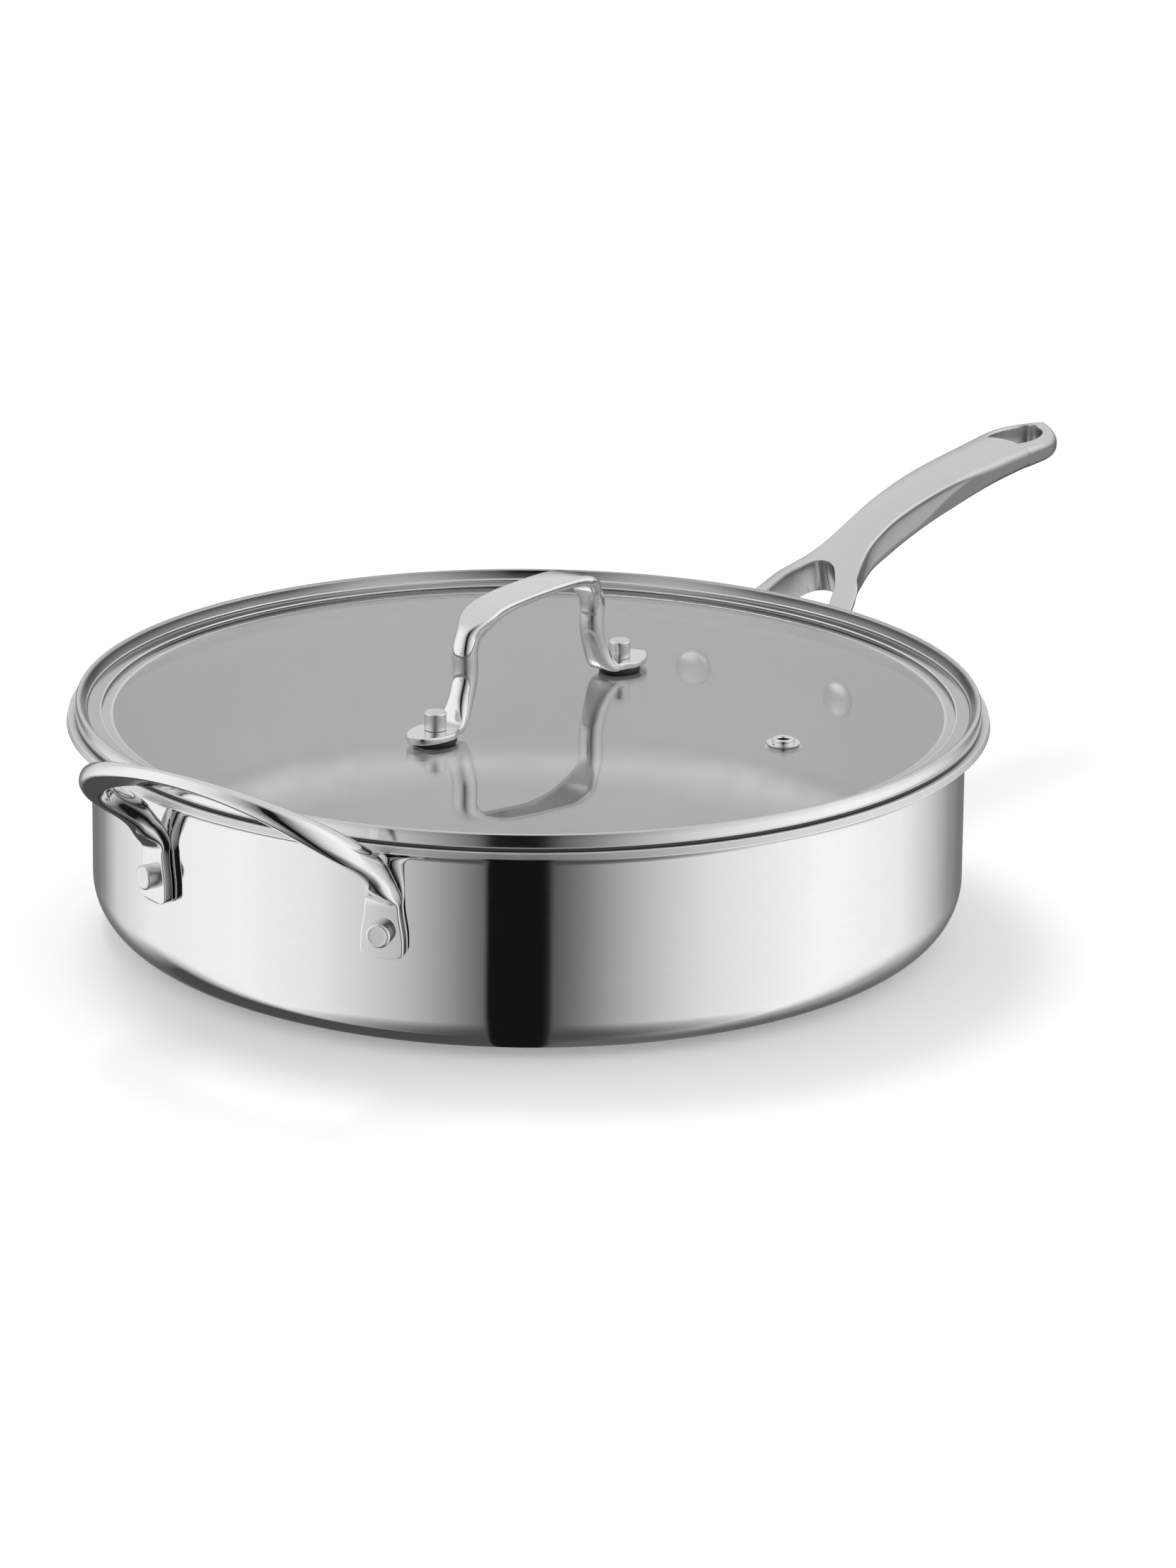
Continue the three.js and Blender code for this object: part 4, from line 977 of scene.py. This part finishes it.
LID_STACK = {
    "stud": ("turned", stud_profile, "rivet_steel", rivet_steel),
    "gasket": ("moulded", gasket_profile, "silicone", silicone),
    "washer": ("turned", washer_profile, "satin_steel", cooking_steel),
}
for end, stack_x in (("front", -STUD_X), ("rear", STUD_X)):
    for kind, (made, profile, slot, finish) in LID_STACK.items():
        mesh = turned(f"lid_{kind}_{end}_{made}", profile, SMALL_STEPS, shifted(stack_x, 0))
        place(mesh, f"lid_{kind}_{end}", "lid", finish)

# %% [markdown]
# ## The steam vent
# A steel eyelet pressed through the glass: a flange on top, a rolled collar round the hole and a washer
# below. The hole goes right through, so it reads dark from above.

# %% Steam vent
VENT_BORE, VENT_SHANK, VENT_COLLAR, VENT_FLANGE, VENT_WASHER = 1.9, 3, 3.7, 5.5, 6
VENT_UNDER, VENT_SEAT, VENT_RIM, VENT_TOP = 68.67, 72.97, 73.57, 74.87
vent_profile = soften(
    [[VENT_BORE, VENT_UNDER], [VENT_SHANK, VENT_UNDER], [VENT_SHANK, VENT_SEAT], [VENT_FLANGE, VENT_SEAT],
     [VENT_FLANGE, VENT_RIM], [VENT_COLLAR, VENT_RIM], [VENT_COLLAR, VENT_TOP], [VENT_BORE, VENT_TOP]],
    np.array([0.1, 0.2, 0.1, 0.25, 0.25, 0.2, 0.8, 0.8]), 10)
vent_washer_profile = flat_ring(VENT_HOLE, VENT_WASHER, VENT_UNDER + 0.1, WASHER_TOP, 0.2)
to_vent = shifted(VENT_X, VENT_Y)
vent = turned("vent_eyelet_rolled", vent_profile, SMALL_STEPS, to_vent)
place(vent, "vent_eyelet", "lid", bent_steel)
vent_washer = turned("vent_washer_turned", vent_washer_profile, SMALL_STEPS, to_vent)
place(vent_washer, "vent_washer", "lid", cooking_steel)

# %% [markdown]
# ## Floor
# A plain white sheet under the pan. It keeps the soft shadow, and what the camera sees of it is lifted to
# paper white. Mirror steel would show the sheet's edge as a hard band, so the sheet is kept out of
# reflections and the metal mirrors the studio's own gradient instead.

# %% Floor
FLOOR_HALF = 15000.0
FLOOR_DROP = 0.05
PAPER_GREY, PAPER_SEEN, PAPER_GLOW = 0.6, 1.14, 0.03


def floor_finish():
    """White diffuse paper; where the camera, metal or glass sees it, it is whiter and glows a little."""
    finish = bpy.data.materials.new("paper_floor")
    finish.use_nodes = True
    tree = finish.node_tree
    tree.nodes.remove(tree.nodes["Principled BSDF"])
    paper = tree.nodes.new("ShaderNodeBsdfDiffuse")
    rays = tree.nodes.new("ShaderNodeLightPath")
    seen = math_node(tree, "MAXIMUM", rays.outputs["Is Camera Ray"], rays.outputs["Is Transmission Ray"])
    seen = math_node(tree, "MAXIMUM", seen, rays.outputs["Is Glossy Ray"])
    shade = mix_node(tree, seen, grey(PAPER_GREY), grey(PAPER_SEEN))
    tree.links.new(shade, paper.inputs["Color"])
    glow = tree.nodes.new("ShaderNodeEmission")
    tree.links.new(math_node(tree, "MULTIPLY", seen, PAPER_GLOW), glow.inputs["Strength"])
    both = feed(tree, tree.nodes.new("ShaderNodeAddShader"), {0: paper.outputs[0], 1: glow.outputs[0]})
    tree.links.new(both.outputs[0], tree.nodes["Material Output"].inputs["Surface"])
    return finish


floor_points = FLOOR_HALF * np.array([[-1, -1, 0], [1, -1, 0], [1, 1, 0], [-1, 1, 0]])
floor_points = floor_points - [0, 0, FLOOR_DROP]
floor_mesh = closed_mesh("paper_floor", floor_points, np.array([[0, 1, 2, 3]]))
floor_mesh.materials.append(floor_finish())
floor = add_object("paper_floor", floor_mesh)
floor.visible_glossy = False

# %% [markdown]
# ## Studio light
# Polished steel shows nothing but its surroundings, so the light is drawn as a gradient round the object:
# bright to both sides, a dark gap where the camera stands, dimmer behind. The gradient is a ramp over the
# compass angle; overhead it fades to the backdrop's grey, and underneath to a dark one. Directions lower
# than the wall mirrors are also read by the way a surface must face to mirror them, and the darker of both
# greys counts, so the dark gap runs straight down through the pan's rounded corner.

# %% Studio light
VIEW_TURN = np.radians(-53.8)
STUDIO_RAMP = [
    (-180, 0.20), (-160, 0.20), (-150, 0.33), (-139, 0.76), (-117, 1.06), (-82, 1.15), (-55, 0.99),
    (-31, 0.60), (-20, 0.36), (-11.0, 0.16), (-10.2, 0.008), (5.5, 0.008), (6.2, 0.11), (14, 0.24),
    (25, 0.50), (37, 0.74), (49, 0.93), (85, 1.20), (115, 1.06), (131, 0.74), (147, 0.35), (160, 0.20),
    (180, 0.20)]
BACKDROP_GREY, UNDER_GREY = 0.80, 0.08
BACKDROP_EDGE = np.radians([105, 125]).tolist()
RAISED, ZENITH = (0.02, 0.22), (0.6, 0.9)
STRAIGHT_DOWN, LOWERED = (-0.82, -1.0), (-0.40, -0.62)
UNEVEN = (0.2, 1.5, 1.0, 0.5)
VIEW_DROP = np.radians(17.8)


def studio_ramp(tree, angle):
    """The grey of the studio at a compass angle, from the table of stops."""
    ramp = tree.nodes.new("ShaderNodeValToRGB")
    tree.links.new(range_node(tree, angle, -np.pi, np.pi, 0.0, 1.0), ramp.inputs["Fac"])
    stops = ramp.color_ramp.elements
    for degrees, level in STUDIO_RAMP[1:-1]:
        stops.new((degrees + 180) / 360).color = grey(level)
    stops[0].color = stops[-1].color = grey(STUDIO_RAMP[0][1])
    return ramp.outputs["Color"]


def studio_world():
    """Ramp grey at a direction's compass angle, the backdrop's grey above and a dark grey underneath."""
    world = bpy.data.worlds.new("studio")
    world.use_nodes = True
    tree = world.node_tree
    coords = tree.nodes.new("ShaderNodeTexCoord")
    turn = tree.nodes.new("ShaderNodeMapping")
    turn.inputs["Rotation"].default_value = (0, 0, -VIEW_TURN)
    tree.links.new(coords.outputs["Generated"], turn.inputs["Vector"])
    parts = tree.nodes.new("ShaderNodeSeparateXYZ")
    tree.links.new(turn.outputs[0], parts.inputs[0])
    x, z = parts.outputs["X"], parts.outputs["Z"]
    towards_camera = math_node(tree, "MULTIPLY", parts.outputs["Y"], -1.0)
    angle = math_node(tree, "ARCTAN2", x, towards_camera)
    halfway = math_node(tree, "ADD", towards_camera, float(np.cos(VIEW_DROP)))
    facing = math_node(tree, "MULTIPLY", math_node(tree, "ARCTAN2", x, halfway), 2.0)
    low = math_node(tree, "LESS_THAN", z, -float(np.sin(VIEW_DROP)))
    level = mix_node(tree, low, studio_ramp(tree, angle), studio_ramp(tree, facing), "DARKEN")
    behind = range_node(tree, math_node(tree, "ABSOLUTE", angle), *BACKDROP_EDGE, 0.0, 1.0)
    raised = math_node(tree, "MULTIPLY", behind, range_node(tree, z, *RAISED, 0.0, 1.0))
    above = math_node(tree, "MAXIMUM", raised, range_node(tree, z, *ZENITH, 0.0, 1.0))
    with_backdrop = mix_node(tree, above, level, grey(BACKDROP_GREY))
    straight_down = range_node(tree, z, *STRAIGHT_DOWN, 0.0, 1.0)
    uneven = math_node(tree, "MULTIPLY", behind, range_node(tree, angle, *UNEVEN))
    lowered = math_node(tree, "MULTIPLY", uneven, range_node(tree, z, *LOWERED, 0.0, 1.0))
    below = math_node(tree, "MAXIMUM", straight_down, lowered)
    everything = mix_node(tree, below, with_backdrop, grey(UNDER_GREY), "DARKEN")
    tree.links.new(everything, tree.nodes["Background"].inputs["Color"])
    return world


bpy.context.scene.world = studio_world()
key_data = bpy.data.lights.new("key_panel", "AREA")
key_data.energy = 14.0
key_data.size = 0.85
key = add_object("key_panel", key_data)
key.location = (0.6, 1.05, 2.2)
key.rotation_euler = (np.radians(-25), np.radians(15.5), 0)
key.visible_glossy = False

# %% [markdown]
# ## Camera
# The camera stands where the photograph was taken from: low, in front of the helper handle, with a long
# lens. Its place and its axes (right, up and back) were fitted to the outlines of the lip, wall and base.

# %% Camera
CAMERA_PLACE = np.array([-1842.957, -1348.841, 777.656])
CAMERA_AXES = np.array([
    [0.58613, -0.81016, 0.00948], [0.24198, 0.18621, 0.95225], [-0.77324, -0.55585, 0.30519]])

camera_data = bpy.data.cameras.new("camera")
camera_data.sensor_fit = "VERTICAL"
camera_data.sensor_height = 36
camera_data.lens = 168.777
camera_data.clip_end = 100
camera = add_object("camera", camera_data)
pose = np.eye(4)
pose[:3, :3] = CAMERA_AXES.T
pose[:3, 3] = CAMERA_PLACE * MM
camera.matrix_world = [list(column) for column in pose.T]
bpy.context.scene.camera = camera
bpy.context.scene.view_settings.view_transform = "Standard"
